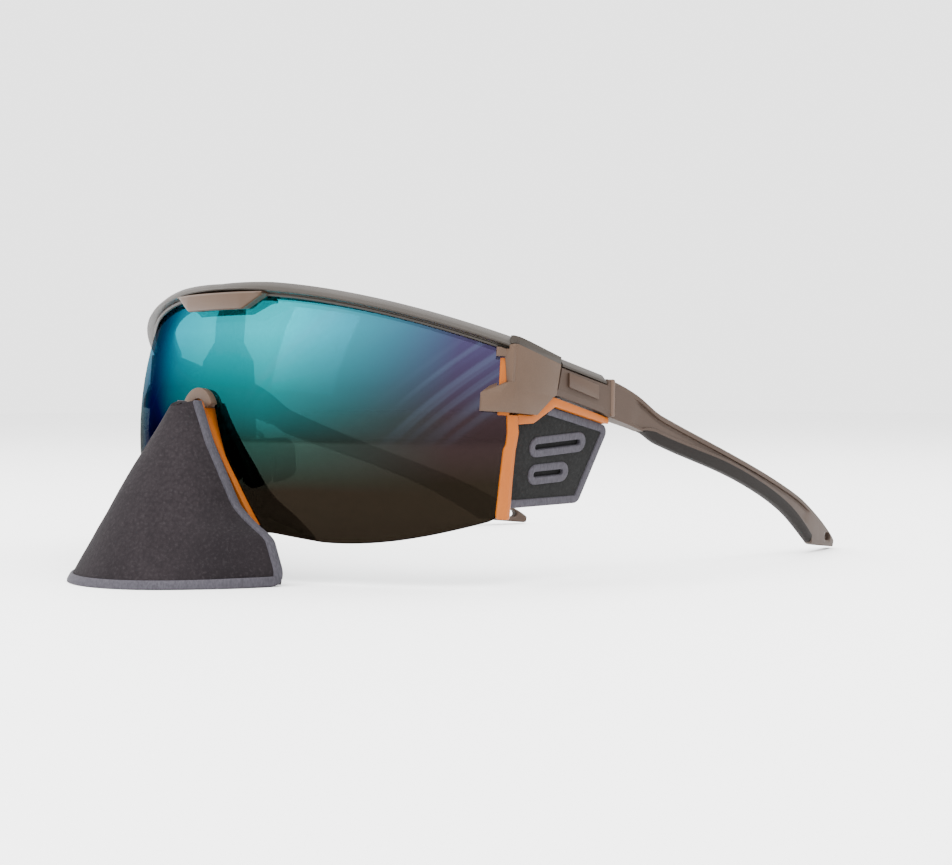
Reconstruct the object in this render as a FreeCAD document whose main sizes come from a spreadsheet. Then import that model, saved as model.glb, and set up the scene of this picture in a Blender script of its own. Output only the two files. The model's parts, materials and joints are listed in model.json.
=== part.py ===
"""Shield glacier glasses with clip-on side shields and nose cover, standing open on a table.

Three working frames are used, all in millimetres.
Front frame: the lens stands upright, x is across, y is depth (the lens faces -y), z is up.
Temple frame: z runs along the left hinge axis and y backwards along the left temple.
Shield frame: x is square to the left side shield's fabric.
Left is the wearer's left, which is +x. The right-hand pieces are mirrored from the left-hand ones.
"""

import FreeCAD, Part
import math
import os

import Sketcher
from FreeCAD import Placement, Rotation, Vector

DIMENSIONS = {
    # stance of the whole object on the table
    "lean_angle": 4.5, "stand_height": 15.8, "stand_shift": -67.9,
    # lens
    "lens_radius": 90.5, "lens_thickness": 2.2, "lens_half_angle": 49.5, "lens_axis": 89.8,
    "lens_equator": 22.6, "lens_top": 51.8, "lens_bottom": -5.7, "notch_radius": 5.0, "notch_centre": 21.6,
    # brow bar
    "brow_radius": 97.5, "brow_axis": 98.35, "brow_depth": 7.3, "brow_top": 53.9, "brow_lip": 1.2,
    "brow_slope": 0.405, "brow_half_angle": 45.4, "clip_proud": 1.2, "clip_top": 49.9,
    "clip_bottom": 46.0, "clip_top_half": 16.8, "clip_bottom_half": 10.7,
    # end piece and hinge
    "hinge_x": 66.6, "hinge_y": 44.0, "hinge_z": 34.0,
    "hinge_tilt": 10.15, "knuckle_radius": 2.2, "pin_radius": 0.7, "running_gap": 0.05,
    "knuckle_middle": -0.9, "knuckle_half": 0.8, "ear_inner": 1.0, "ear_outer": 2.2, "head_radius": 1.3,
    "head_height": 0.45,
    # temple
    "block_top": 2.1, "strip_top": 4.0, "grip_height": 2.4, "ring_proud": 0.3,
    # side shield
    "shield_tilt": 9.0, "shield_x": 68.8, "shield_z": 27.0, "fabric": 1.4, "binding_proud": 0.35,
    # clips that hold the shields and the nose cover on the lens
    "clip_wall": 1.1, "fit_gap": 0.1, "clip_grip": 1.3,
    # nose cover, bridge and pads
    "cover_fabric": 1.5, "cover_binding": 2.2, "bridge_front": 4.2, "bridge_depth": 3.0,
    "pad_thickness": 2.0, "pad_splay": 24.0, "wire_radius": 0.6, "wire_x": 8.4, "wire_z": 18.4,
}

doc = FreeCAD.newDocument("GlacierGlasses")
sheet = doc.addObject("Spreadsheet::Sheet", "dims")
for row, (alias, number) in enumerate(DIMENSIONS.items(), start=1):
    sheet.set(f"A{row}", alias)
    sheet.set(f"B{row}", str(number))
    sheet.setAlias(f"B{row}", alias)
doc.recompute()


class Size:
    """A number together with the spreadsheet expression that gives it."""

    def __init__(self, number, text):
        self.number = float(number)
        self.text = text

    def __add__(self, other):
        other = size(other)
        return Size(self.number + other.number, f"({self.text} + {other.text})")

    def __sub__(self, other):
        other = size(other)
        return Size(self.number - other.number, f"({self.text} - {other.text})")

    def __rsub__(self, other):
        return size(other) - self

    def __mul__(self, other):
        other = size(other)
        return Size(self.number * other.number, f"({self.text} * {other.text})")

    def __neg__(self):
        return Size(-self.number, f"(0 - {self.text})")

    __radd__ = __add__
    __rmul__ = __mul__


def size(value):
    """Any number or Size as a Size."""
    return value if isinstance(value, Size) else Size(value, repr(float(value)))


def cell(alias):
    """The Size held by one spreadsheet cell."""
    return Size(sheet.get(alias), f"dims.{alias}")


def sine(angle):
    return Size(math.sin(math.radians(angle.number)), f"sin({angle.text} * 1 deg)")


def cosine(angle):
    return Size(math.cos(math.radians(angle.number)), f"cos({angle.text} * 1 deg)")


d = {alias: cell(alias) for alias in DIMENSIONS}

# ---------------------------------------------------------------- working frames

FRONT = Placement(Vector(0, d["stand_shift"].number, d["stand_height"].number),
                  Rotation(Vector(1, 0, 0), -d["lean_angle"].number))
TEMPLE = FRONT * Placement(Vector(d["hinge_x"].number, d["hinge_y"].number, d["hinge_z"].number),
                           Rotation(Vector(1, 0, 0), -d["hinge_tilt"].number))
SHIELD = FRONT * Placement(Vector(d["shield_x"].number, 0, d["shield_z"].number),
                           Rotation(Vector(0, 1, 0), d["shield_tilt"].number))

sub_parts = []


def place(thing, placement):
    """Puts a solid in its working frame's place."""
    thing.Placement = placement
    return thing


def keep(thing, label):
    """Names a finished sub-part."""
    thing.Label = label
    sub_parts.append(thing)
    return thing


def mirror(source, label):
    """The right-hand copy of a left-hand sub-part."""
    copy = doc.addObject("Part::Mirroring", label)
    copy.Source = source
    copy.Normal = Vector(1, 0, 0)
    return keep(copy, label)


def keep_pair(thing, label):
    """Names a left-hand sub-part and makes its right-hand copy."""
    keep(thing, label + "_left")
    mirror(thing, label + "_right")


# ---------------------------------------------------------------- sketch and feature helpers

def body(name):
    return doc.addObject("PartDesign::Body", name)


def origin_plane(owner, role):
    return next(f for f in owner.Origin.OriginFeatures if f.Role == role)


def bind(thing, name, value):
    """Sets a property and, where the value comes from the spreadsheet, its expression."""
    value = size(value)
    setattr(thing, name, value.number)
    if "dims." in value.text:
        thing.setExpression(name, value.text)


def pin_point(sketch, geometry, end, x, y):
    """Fixes one end of a line or arc at x, y from the sketch's origin."""
    for kind, value in (("DistanceX", size(x)), ("DistanceY", size(y))):
        index = sketch.addConstraint(Sketcher.Constraint(kind, -1, 1, geometry, end, value.number))
        if "dims." in value.text:
            sketch.setExpression(f"Constraints[{index}]", value.text)


def point(pair):
    return Vector(size(pair[0]).number, size(pair[1]).number, 0)


def draw(sketch, loop):
    """Adds one closed loop of straight edges and arcs. A corner is (x, y); ("arc", through, corner)
    reaches its corner by an arc through a point on the way."""
    corners = [item[2] if item[0] == "arc" else item for item in loop]
    for index, item in enumerate(loop):
        before, here = corners[index - 1], corners[index]
        if item[0] == "arc":
            start, middle, end = point(before), point(item[1]), point(here)
            clockwise = (middle - start).cross(end - start).z < 0
            first, last = (here, before) if clockwise else (before, here)
            edge = sketch.addGeometry(Part.Arc(point(first), middle, point(last)), False)
            radius = sketch.Geometry[edge].Radius
            if (end - start).Length < 1.99 * radius:
                sketch.addConstraint(Sketcher.Constraint("Radius", edge, radius))
            pin_point(sketch, edge, 1, *first)
            pin_point(sketch, edge, 2, *last)
        else:
            edge = sketch.addGeometry(Part.LineSegment(point(before), point(here)), False)
            pin_point(sketch, edge, 1, *before)
            pin_point(sketch, edge, 2, *here)


def sketch_on(owner, name, role, loops, offset=0):
    """A sketch on one of a body's own origin planes, moved along its normal by offset."""
    sketch = owner.newObject("Sketcher::SketchObject", name)
    sketch.AttachmentSupport = [(origin_plane(owner, role), "")]
    sketch.MapMode = "FlatFace"
    offset = size(offset)
    sketch.AttachmentOffset = Placement(Vector(0, 0, offset.number), Rotation())
    if "dims." in offset.text:
        sketch.setExpression("AttachmentOffset.Base.z", offset.text)
    for loop in loops:
        draw(sketch, loop)
    return sketch


def pad(owner, name, role, loops, length, offset=0, both=False):
    """Adds material: the loops pushed along the plane's normal, or both ways."""
    feature = owner.newObject("PartDesign::Pad", name)
    feature.Profile = sketch_on(owner, name + "_sketch", role, loops, offset)
    bind(feature, "Length", length)
    feature.Midplane = both
    return feature


def pocket(owner, name, role, loops, length, offset=0, both=True, reverse=False):
    """Removes material, both ways from the sketch unless told otherwise."""
    feature = owner.newObject("PartDesign::Pocket", name)
    feature.Profile = sketch_on(owner, name + "_sketch", role, loops, offset)
    bind(feature, "Length", length)
    feature.Midplane = both
    feature.Reversed = reverse
    return feature


def common(label, base, tool):
    made = doc.addObject("Part::Common", label)
    made.Base, made.Tool = base, tool
    return made


def cut(label, base, tool):
    made = doc.addObject("Part::Cut", label)
    made.Base, made.Tool = base, tool
    return made


def fuse(label, *shapes):
    made = doc.addObject("Part::MultiFuse", label)
    made.Shapes = list(shapes)
    made.Refine = True
    return made


def rectangle(x0, y0, x1, y1):
    return [(x0, y0), (x1, y0), (x1, y1), (x0, y1)]


def rounded(corners, radius, inset=0.0):
    """A polygon with round corners as a loop, its edges moved inwards by inset. The corners run
    anticlockwise, and may turn either way."""
    spots = [Vector(x, y, 0) for x, y in corners]
    loop = []
    for index, spot in enumerate(spots):
        to_here = (spot - spots[index - 1]).normalize()
        onward = (spots[(index + 1) % len(spots)] - spot).normalize()
        turn = onward.getAngle(to_here)
        inwards = (Vector(-to_here.y, to_here.x, 0) + Vector(-onward.y, onward.x, 0)).normalize()
        corner = spot + inwards * (inset / math.cos(turn / 2))
        side = 1 if to_here.cross(onward).z > 0 else -1
        reach = radius * math.tan(turn / 2)
        middle = corner + inwards * side * (radius / math.cos(turn / 2) - radius)
        first, last = corner - to_here * reach, corner + onward * reach
        loop += [(first.x, first.y), ("arc", (middle.x, middle.y), (last.x, last.y))]
    return loop


def slot(x, y, length, width, angle):
    """A round-ended slot as a loop, centred on x, y."""
    along = Vector(math.cos(math.radians(angle)), math.sin(math.radians(angle)), 0)
    across = Vector(-along.y, along.x, 0)
    centre = Vector(x, y, 0)
    reach, half = (length - width) / 2, width / 2

    def at(a, b):
        spot = centre + along * a + across * b
        return (spot.x, spot.y)

    return [at(reach, -half), ("arc", at(reach + half, 0), at(reach, half)),
            at(-reach, half), ("arc", at(-reach - half, 0), at(-reach, -half))]


# ---------------------------------------------------------------- lens and the shapes that follow it

ALL_ROUND = 200


def ring(inner, outer, start_angle, end_angle, axis):
    """A curved strip seen from above, about a point behind the lens. Angles are from straight ahead."""
    middle = size((size(start_angle).number + size(end_angle).number) / 2)

    def at(radius, angle):
        return (sine(size(angle)) * radius, axis - cosine(size(angle)) * radius)

    return [at(outer, start_angle), ("arc", at(outer, middle), at(outer, end_angle)),
            at(inner, end_angle), ("arc", at(inner, middle), at(inner, start_angle))]


WEDGE_INNER = 70.0
WEDGE_OUTER = 105.0


def sector(name, start_angle, end_angle, low=-30, high=70):
    """A thick upright wedge about the lens's middle, to be cut down to a curved wall."""
    wedge = body(name)
    strip = ring(size(WEDGE_INNER), size(WEDGE_OUTER), start_angle, end_angle, d["lens_axis"])
    pad(wedge, name + "_wedge", "XY_Plane", [strip], high - low, low)
    return wedge


def ball(name, radius):
    """A ball about the lens's centre of curvature."""
    made = doc.addObject("Part::Sphere", name)
    bind(made, "Radius", radius)
    centre = Vector(0, d["lens_axis"].number, d["lens_equator"].number)
    return place(made, FRONT * Placement(centre, Rotation()))


def bowed(name, wedge, inner, outer):
    """The part of a wedge that lies between two distances from the lens's centre of curvature."""
    shell = cut(name + "_shell", ball(name + "_outside", outer), ball(name + "_inside", inner))
    return common(name + "_bowed", place(wedge, FRONT), shell)


NOTCH_SIDE = [(19.8, -9.0), (15.7, -1.9), (13.5, 2.5), (10.8, 7.4)]
NOTCH_HALF_ANGLE = 74


def notch_edge(widen):
    """The nose notch seen from the front, moved into the lens by widen. It runs down off the lens."""
    radius = d["notch_radius"] + widen
    centre = d["notch_centre"]
    side = size(NOTCH_HALF_ANGLE)
    top_corner = (sine(side) * radius, centre + cosine(side) * radius)
    right = [(widen + x, y) for x, y in NOTCH_SIDE] + [top_corner]
    left = [(-x, y) for x, y in reversed(right)]
    return right + [("arc", (0, centre + radius), left[0])] + left[1:]


def above(height):
    """Everything over the brow's sloping line at this height, seen from the side."""
    slope = d["brow_slope"]
    return [(-20, height + slope * 20), (60, height - slope * 60), (60, 90), (-20, 90)]


def below(height):
    """Everything under the brow's sloping line at this height, seen from the side."""
    slope = d["brow_slope"]
    return [(-20, -60), (60, -60), (60, height - slope * 60), (-20, height + slope * 20)]


def make_lens():
    outer = d["lens_radius"]
    half = d["lens_half_angle"]
    lens = sector("lens_wall", -half, half, -20, 60)
    pocket(lens, "lens_top_cut", "YZ_Plane", [above(d["lens_top"])], ALL_ROUND)
    pocket(lens, "lens_notch", "XZ_Plane", [notch_edge(0)], ALL_ROUND)
    low = d["lens_bottom"]
    edge = [(-80, -40), (80, -40), (80, 3.0), (66.5, 1.8), ("arc", (48.5, -4.3), (33.0, low)),
            (21.0, low + 1.2), (-21.0, low + 1.2), (-33.0, low), ("arc", (-48.5, -4.3), (-66.5, 1.8)),
            (-80, 3.0)]
    pocket(lens, "lens_lower_edge", "XZ_Plane", [edge], ALL_ROUND)
    return bowed("lens", lens, outer - d["lens_thickness"], outer)


lens = keep(make_lens(), "lens")


# ---------------------------------------------------------------- brow bar and its centre clip

def make_brow_bar():
    outer = d["brow_radius"]
    half = d["brow_half_angle"]
    bar = body("brow_wall")
    strip = ring(outer - d["brow_depth"], outer, -half, half, d["brow_axis"])
    pad(bar, "brow_wall_strip", "XY_Plane", [strip], 80, 0)
    pocket(bar, "brow_top_cut", "YZ_Plane", [above(d["brow_top"])], ALL_ROUND)
    pocket(bar, "brow_bottom_cut", "YZ_Plane", [below(d["lens_top"] - d["brow_lip"])], ALL_ROUND)
    return cut("brow_with_groove", place(bar, FRONT), lens)


brow_bar = keep(make_brow_bar(), "brow_bar")


def make_brow_clip():
    outer = d["brow_radius"]
    wall = body("brow_clip_wall")
    strip = ring(outer - 3.0, outer + d["clip_proud"], -12, 12, d["brow_axis"])
    pad(wall, "brow_clip_strip", "XY_Plane", [strip], 30, 35)
    face = body("brow_clip_face")
    outline = [(-d["clip_bottom_half"], d["clip_bottom"]), (d["clip_bottom_half"], d["clip_bottom"]),
               (d["clip_top_half"], d["clip_top"]), (-d["clip_top_half"], d["clip_top"])]
    pad(face, "brow_clip_outline", "XZ_Plane", [outline], 30, both=True)
    shape = common("brow_clip_shape", place(wall, FRONT), place(face, FRONT))
    return cut("brow_clip_on_lens", cut("brow_clip_cut", shape, brow_bar), lens)


keep(make_brow_clip(), "brow_clip")


# ---------------------------------------------------------------- end piece, hinge and corner cap

END_PIECE_SIDE = [(25.3, 24.85), (36.7, 24.8), (42.1, 29.0), (43.15, 29.5), (44.1, 36.4), (30.5, 39.6),
                  (30.2, 39.4), (30.4, 31.5), (29.3, 31.35), (25.3, 28.7)]
END_PIECE_PLAN = [(65.6, 25.4), (66.4, 25.4), (69.4, 27.9), (70.9, 30.0), (72.15, 33.5), (72.15, 44.05),
                  (69.2, 44.05), (69.2, 31.3), (69.9, 30.3), (67.95, 28.0), (66.8, 29.1), (65.6, 28.1)]
# planes through three points, with the outside on the side from which they run anticlockwise
CLAW_TOP_FACET = [(65.5, 25.4, 28.7), (69.5, 27.8, 28.65), (70.5, 29.3, 31.3)]
CLAW_SIDE_FACET = [(70.9, 30.2, 31.4), (72.0, 34.0, 24.9), (71.2, 42.0, 29.4)]
MAIN_FACE = [(71.2, 30.0, 30.0), (71.2, 40.0, 30.0), (71.2, 30.0, 40.0)]
CLAW_HEIGHT = 31.4
CHEEK_SIDE = [(29.75, 31.4), (31.6, 31.4), (31.6, 39.2), (30.1, 39.6), (29.75, 39.3)]
CHEEK_PLAN = [(67.8, 29.75), (70.7, 29.75), (70.9, 30.0), (71.2, 31.2), (71.2, 31.6), (67.8, 31.6)]
CHEEK_ROOM = 1.35
NUB = (47.4, 49.7, 36.9, 38.9)
CORNER_CAP_SIDE = [(29.9, 39.75), (44.0, 36.4), (44.1, 38.0), (30.2, 41.5), (29.9, 41.3)]
CORNER_CAP_PLAN = [(66.5, 29.7), (69.6, 29.7), (70.9, 31.2), (71.2, 33.9), (71.2, 44.05), (68.4, 44.05),
                   (68.2, 34.0)]


def disc(radius, x=0.0, y=0.0):
    """A full circle as two arcs, about the hinge axis unless told otherwise."""
    return [("arc", (x, y - radius), (x + radius, y)), ("arc", (x, y + radius), (x - radius, y))]


def knuckle(name, low, high, web):
    """A hinge knuckle between two heights, with the web that joins it to its own plate."""
    owner = body(name)
    pad(owner, name + "_barrel", "XY_Plane", [disc(d["knuckle_radius"])], high - low, low)
    pad(owner, name + "_web", "XY_Plane", [web], high - low, low)
    return place(owner, TEMPLE)


def hinge_bore(name, radius):
    tool = body(name)
    pad(tool, name + "_round", "XY_Plane", [disc(radius)], 12, both=True)
    return place(tool, TEMPLE)


def crossed(name, side_outline, plan_outline):
    """The solid that has one outline seen from the side and another seen from above."""
    side = body(name + "_side")
    pad(side, name + "_side_outline", "YZ_Plane", [side_outline], 90)
    plan = body(name + "_plan")
    pad(plan, name + "_plan_outline", "XY_Plane", [plan_outline], 90)
    return common(name, place(side, FRONT), place(plan, FRONT))


def box(name, low, high):
    """A box between two corners in the front frame."""
    made = doc.addObject("Part::Box", name)
    made.Length, made.Width, made.Height = [b - a for a, b in zip(low, high)]
    return place(made, FRONT * Placement(Vector(*low), Rotation()))


def outside(name, points):
    """A big block on the outer side of the plane through three points in the front frame."""
    first, second, third = [Vector(*p) for p in points]
    normal = (second - first).cross(third - first)
    facing = Rotation(Vector(0, 0, 1), normal)
    reach = 60
    made = doc.addObject("Part::Box", name)
    made.Length, made.Width, made.Height = 2 * reach, 2 * reach, reach
    return place(made, FRONT * Placement(first - facing.multVec(Vector(reach, reach, 0)), facing))


def make_end_piece():
    """A faceted plate with a claw in front of the lens, a cheek in front of the shield clip's lip, a
    nub over the lens's corner, and the two outer hinge knuckles."""
    plate = crossed("end_piece_plate", END_PIECE_SIDE, END_PIECE_PLAN)
    above_claw = common("claw_top_waste", outside("claw_top_facet", CLAW_TOP_FACET),
                        box("claw_zone", (50, 0, 0), (90, 60, CLAW_HEIGHT)))
    beside_claw = common("claw_side_waste", outside("claw_side_facet", CLAW_SIDE_FACET),
                         outside("main_face", MAIN_FACE))
    faceted = cut("end_piece_side_facets", cut("end_piece_claw", plate, above_claw), beside_claw)
    outer = d["lens_radius"]
    cheek_block = crossed("cheek_block", CHEEK_SIDE, CHEEK_PLAN)
    cheek = cut("cheek", cheek_block, ball("cheek_room", outer + CHEEK_ROOM))
    nub = bowed("nub", sector("nub_wedge", *NUB), outer, outer + CHEEK_ROOM + 0.5)
    web = [(0, -4.4), (2.8, -4.4), (2.8, 0), (0, 0)]
    middle = d["knuckle_middle"]
    low_ear = knuckle("ear_low", middle - d["ear_outer"], middle - d["ear_inner"], web)
    high_ear = knuckle("ear_high", middle + d["ear_inner"], middle + d["ear_outer"], web)
    whole = fuse("end_piece_whole", faceted, cheek, nub, low_ear, high_ear)
    bored = cut("end_piece_bored", whole, hinge_bore("ear_bore", d["pin_radius"]))
    return cut("end_piece_fitted", cut("end_piece_lens_side", bored, lens), brow_bar)


end_piece = make_end_piece()
keep_pair(end_piece, "end_piece")


def make_corner_cap():
    cap = crossed("corner_cap_shape", CORNER_CAP_SIDE, CORNER_CAP_PLAN)
    return cut("corner_cap_cut", cut("corner_cap_on_plate", cap, end_piece), brow_bar)


keep_pair(make_corner_cap(), "corner_cap")


def make_hinge_screw():
    screw = body("hinge_screw_body")
    bottom = d["knuckle_middle"] - d["ear_outer"]
    top = d["knuckle_middle"] + d["ear_outer"]
    half_slot = 0.15
    pad(screw, "screw_shank", "XY_Plane", [disc(d["pin_radius"] - 0.01)], top - bottom, bottom)
    pad(screw, "screw_head", "XY_Plane", [disc(d["head_radius"])], d["head_height"], top)
    doc.recompute()
    pocket(screw, "screw_slot", "XY_Plane", [rectangle(-2, -half_slot, 2, half_slot)], 0.25,
           top + d["head_height"], both=False)
    return place(screw, TEMPLE)


keep_pair(make_hinge_screw(), "hinge_screw")


# ---------------------------------------------------------------- temple

FAR = 40


def temple_plan(name, outer_shift, inner_shift, start=0.15, low=-20, high=12):
    """The temple seen from above, its outer and inner faces moved by the shifts given."""
    outer = [(4.6, start), (4.9, 17.0), (5.6, 32.0), (5.6, 45.0), (2.9, 86.5), (-7.4, 131.0)]
    inner = [(-10.2, 130.0), (0.2, 86.0), (2.9, 45.0), (2.9, 32.0), (-0.4, 19.0), (-1.4, 15.4), (-1.4, 3.0),
             (2.6, 3.0), (2.6, start)]
    outer = [(x + outer_shift, y) for x, y in outer]
    inner = [(x + inner_shift, y) for x, y in inner]
    loop = outer[:4] + [("arc", outer[4], outer[5]), inner[0], ("arc", inner[1], inner[2])] + inner[3:]
    owner = body(name)
    pad(owner, name + "_outline", "XY_Plane", [loop], high - low, low)
    return place(owner, TEMPLE)


def temple_side(name, loop):
    """A solid with this side outline, wide enough to cross the whole temple."""
    owner = body(name)
    pad(owner, name + "_outline", "YZ_Plane", [loop], 2 * FAR, both=True)
    return place(owner, TEMPLE)


STRAP_SLOT = (121.4, -12.3, 4.4, 2.2, 8)
TOP_EDGE = [(25.3, 2.4), (35.5, -0.3), (97.0, -5.5)]
TOP_BEND = (111.0, -7.9)
TIP = [(123.5, -10.8), (126.9, -12.0), (126.9, -14.2), (112.5, -16.3)]
GRIP_START = (30.0, -5.7)
GRIP_FRONT = (35.5, -7.0)
GRIP_BEND = [(68.0, -8.4), (92.0, -11.2), (110.5, -15.9)]


def grip_edge(rise):
    """The grip's long edge from front to back, straight and then an arc, lifted by rise."""
    front, start, middle, end = [(x, y + rise) for x, y in [GRIP_FRONT] + GRIP_BEND]
    return [front, start, ("arc", middle, end)]


def grip_edge_back(rise):
    """The same edge drawn from back to front."""
    front, start, middle, end = [(x, y + rise) for x, y in [GRIP_FRONT] + GRIP_BEND]
    return [end, ("arc", middle, start), front]


def make_temple():
    top = d["block_top"]
    outline = [(0.15, -4.3), (0.15, top), (15.4, top), (15.4, 3.3)] + TOP_EDGE
    outline += [("arc", TOP_BEND, TIP[0])] + TIP[1:] + [GRIP_BEND[-1]]
    outline += grip_edge_back(d["grip_height"]) + [GRIP_START, (18.0, -4.9)]
    shape = common("temple_shape", temple_plan("temple_plan", 0, 0), temple_side("temple_side", outline))
    web = [(0, 0), (3.4, 0), (3.4, 4.0), (0, 4.0)]
    middle, half = d["knuckle_middle"], d["knuckle_half"]
    joint = knuckle("temple_knuckle", middle - half, middle + half, web)
    whole = fuse("temple_whole", shape, joint)
    strap = body("strap_hole")
    pad(strap, "strap_hole_outline", "YZ_Plane", [slot(*STRAP_SLOT)], 2 * FAR, both=True)
    bored = cut("temple_bored", whole, hinge_bore("temple_bore", d["pin_radius"] + d["running_gap"]))
    return cut("temple_cut", bored, place(strap, TEMPLE))


temple = make_temple()
keep_pair(temple, "temple")


def make_grip():
    outline = [GRIP_START] + grip_edge(d["grip_height"]) + grip_edge_back(0)
    return common("grip_shape", temple_plan("grip_plan", 0, 0), temple_side("grip_side", outline))


keep_pair(make_grip(), "temple_grip")


STRIP_WIDTH = 5.4
BADGE_OUTLINE = [(3.0, -1.9), (13.0, -2.1), (12.2, 1.0), (2.2, 1.2)]
RING_OUTLINE = [(16.0, 3.6), (17.2, 3.5), (19.1, -4.7), (17.9, -4.7)]


def make_temple_top():
    top = d["block_top"]
    peak = d["strip_top"]
    outline = [(0.15, top), (15.2, top), (15.2, peak - 0.3), (14.6, peak), (0.15, peak)]
    strip = body("temple_top_body")
    pad(strip, "temple_top_outline", "YZ_Plane", [outline], STRIP_WIDTH, -1.0)
    return place(strip, TEMPLE)


keep_pair(make_temple_top(), "temple_top")


def make_badge():
    plate = body("badge_body")
    pad(plate, "badge_outline", "YZ_Plane", [BADGE_OUTLINE], 0.7, 4.45)
    return cut("badge_on_block", place(plate, TEMPLE), temple)


keep_pair(make_badge(), "temple_badge")


def make_ring():
    proud = d["ring_proud"]
    plan = temple_plan("ring_plan", proud, -proud)
    band = common("ring_band", plan, temple_side("ring_side", RING_OUTLINE))
    return cut("ring_on_arm", band, temple)


keep_pair(make_ring(), "temple_ring")


# ---------------------------------------------------------------- side shield

SHIELD_OUTLINE = [(34.6, -23.3), (57.7, -21.1), (63.9, -2.9), (43.0, 0.2), (38.6, -4.0), (35.4, -4.4)]
# the binding leaves the front edge and the slanted corner to the clip
UNBOUND = [(30.0, -20.6), (38.4, -20.6), (38.4, -8.0), (41.8, -8.0), (41.8, 6.0), (30.0, 6.0)]
VENTS = [(48.1, -8.15, 17.6, 8.5), (46.6, -14.7, 12.6, 7.3)]


def layer(name, loops, low, high):
    """A flat layer of the side shield between two depths from its outer face."""
    owner = body(name)
    pad(owner, name + "_outline", "YZ_Plane", loops, high - low, low)
    return place(owner, SHIELD)


def vent_slots(width, shorter):
    return [slot(y, z, length - shorter, width, angle) for y, z, length, angle in VENTS]


def make_shield():
    fabric = d["fabric"]
    proud = d["binding_proud"]
    cloth = [rounded(SHIELD_OUTLINE, 1.6, 0.6)] + vent_slots(2.6, 2.4)
    panel = layer("shield_panel_body", cloth, -fabric, 0)
    band = layer("shield_edge", [rounded(SHIELD_OUTLINE, 2.0), rounded(SHIELD_OUTLINE, 0.8, 2.4)],
                 -fabric - proud, proud)
    edge = cut("shield_bound_edge", band, layer("shield_unbound", [UNBOUND], -9, 9))
    trims = []
    for index, (outer, inner) in enumerate(zip(vent_slots(4.6, 0), vent_slots(1.2, 3.4))):
        trims.append(layer(f"vent_trim_{index}", [outer, inner], -fabric - proud, proud))
    keep_pair(panel, "shield_panel")
    keep_pair(cut("shield_binding_cut", edge, panel), "shield_binding")
    keep_pair(cut("vent_trims_cut", fuse("vent_trims", *trims), panel), "shield_vent")
    return panel, edge


shield_panel, shield_edge = make_shield()


SHIELD_BAR = [(32.2, 22.3), (37.6, 22.9), (43.6, 27.8), (61.9, 24.4), (61.6, 25.6), (43.5, 29.2),
              (42.2, 28.7), (36.9, 24.5), (32.2, 24.5)]
SHIELD_BAR_BACK = [(32.2, 22.3), (43.4, 27.8), (43.4, 29.0), (36.0, 30.4), (32.2, 30.4)]
# angles from straight ahead and heights
CHANNEL = (48.55, 50.6, 1.8, 24.4)
CHANNEL_LIP = (47.95, 49.55, 24.4, 36.6)


def make_shield_clip():
    wall = d["clip_wall"]
    gap = d["fit_gap"]
    outer = d["lens_radius"]
    inner = outer - d["lens_thickness"]
    half = d["lens_half_angle"]
    low = bowed("channel", sector("channel_wedge", *CHANNEL), inner - gap - wall, outer + gap + wall)
    high = bowed("channel_top", sector("channel_top_wedge", *CHANNEL_LIP), inner - gap, outer + gap + wall)
    lens_room = sector("channel_room_wedge", 40, half + 0.08, -10, 60)
    room = bowed("channel_room", lens_room, inner - gap, outer + gap)
    back = body("shield_bar_back")
    pad(back, "shield_bar_hidden", "YZ_Plane", [SHIELD_BAR_BACK], 1.7, 66.8)
    bar = body("shield_bar")
    pad(bar, "shield_bar_shown", "YZ_Plane", [SHIELD_BAR], 3.4, 66.8)
    whole = fuse("shield_clip_whole", low, high, place(back, FRONT), place(bar, FRONT))
    open_clip = cut("shield_clip_under_end_piece", cut("shield_clip_open", whole, room), end_piece)
    return cut("shield_clip_fitted", cut("shield_clip_clear", open_clip, shield_panel), shield_edge)


keep_pair(make_shield_clip(), "shield_clip")


# ---------------------------------------------------------------- nose bridge, pads and their wires

BRIDGE_OUTLINE = [(-3.8, 50.0), (-3.8, 39.0), (-8.0, 34.6), (-9.4, 28.0), (-11.0, 16.6), (-6.4, 16.6),
                  (-4.3, 21.6), ("arc", (0, 25.9), (4.3, 21.6)), (6.4, 16.6), (11.0, 16.6), (9.4, 28.0),
                  (8.0, 34.6), (3.8, 39.0), (3.8, 50.0)]
ARCH_HALF_ANGLE = 66
ARCH_THICKNESS = 1.3


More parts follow.
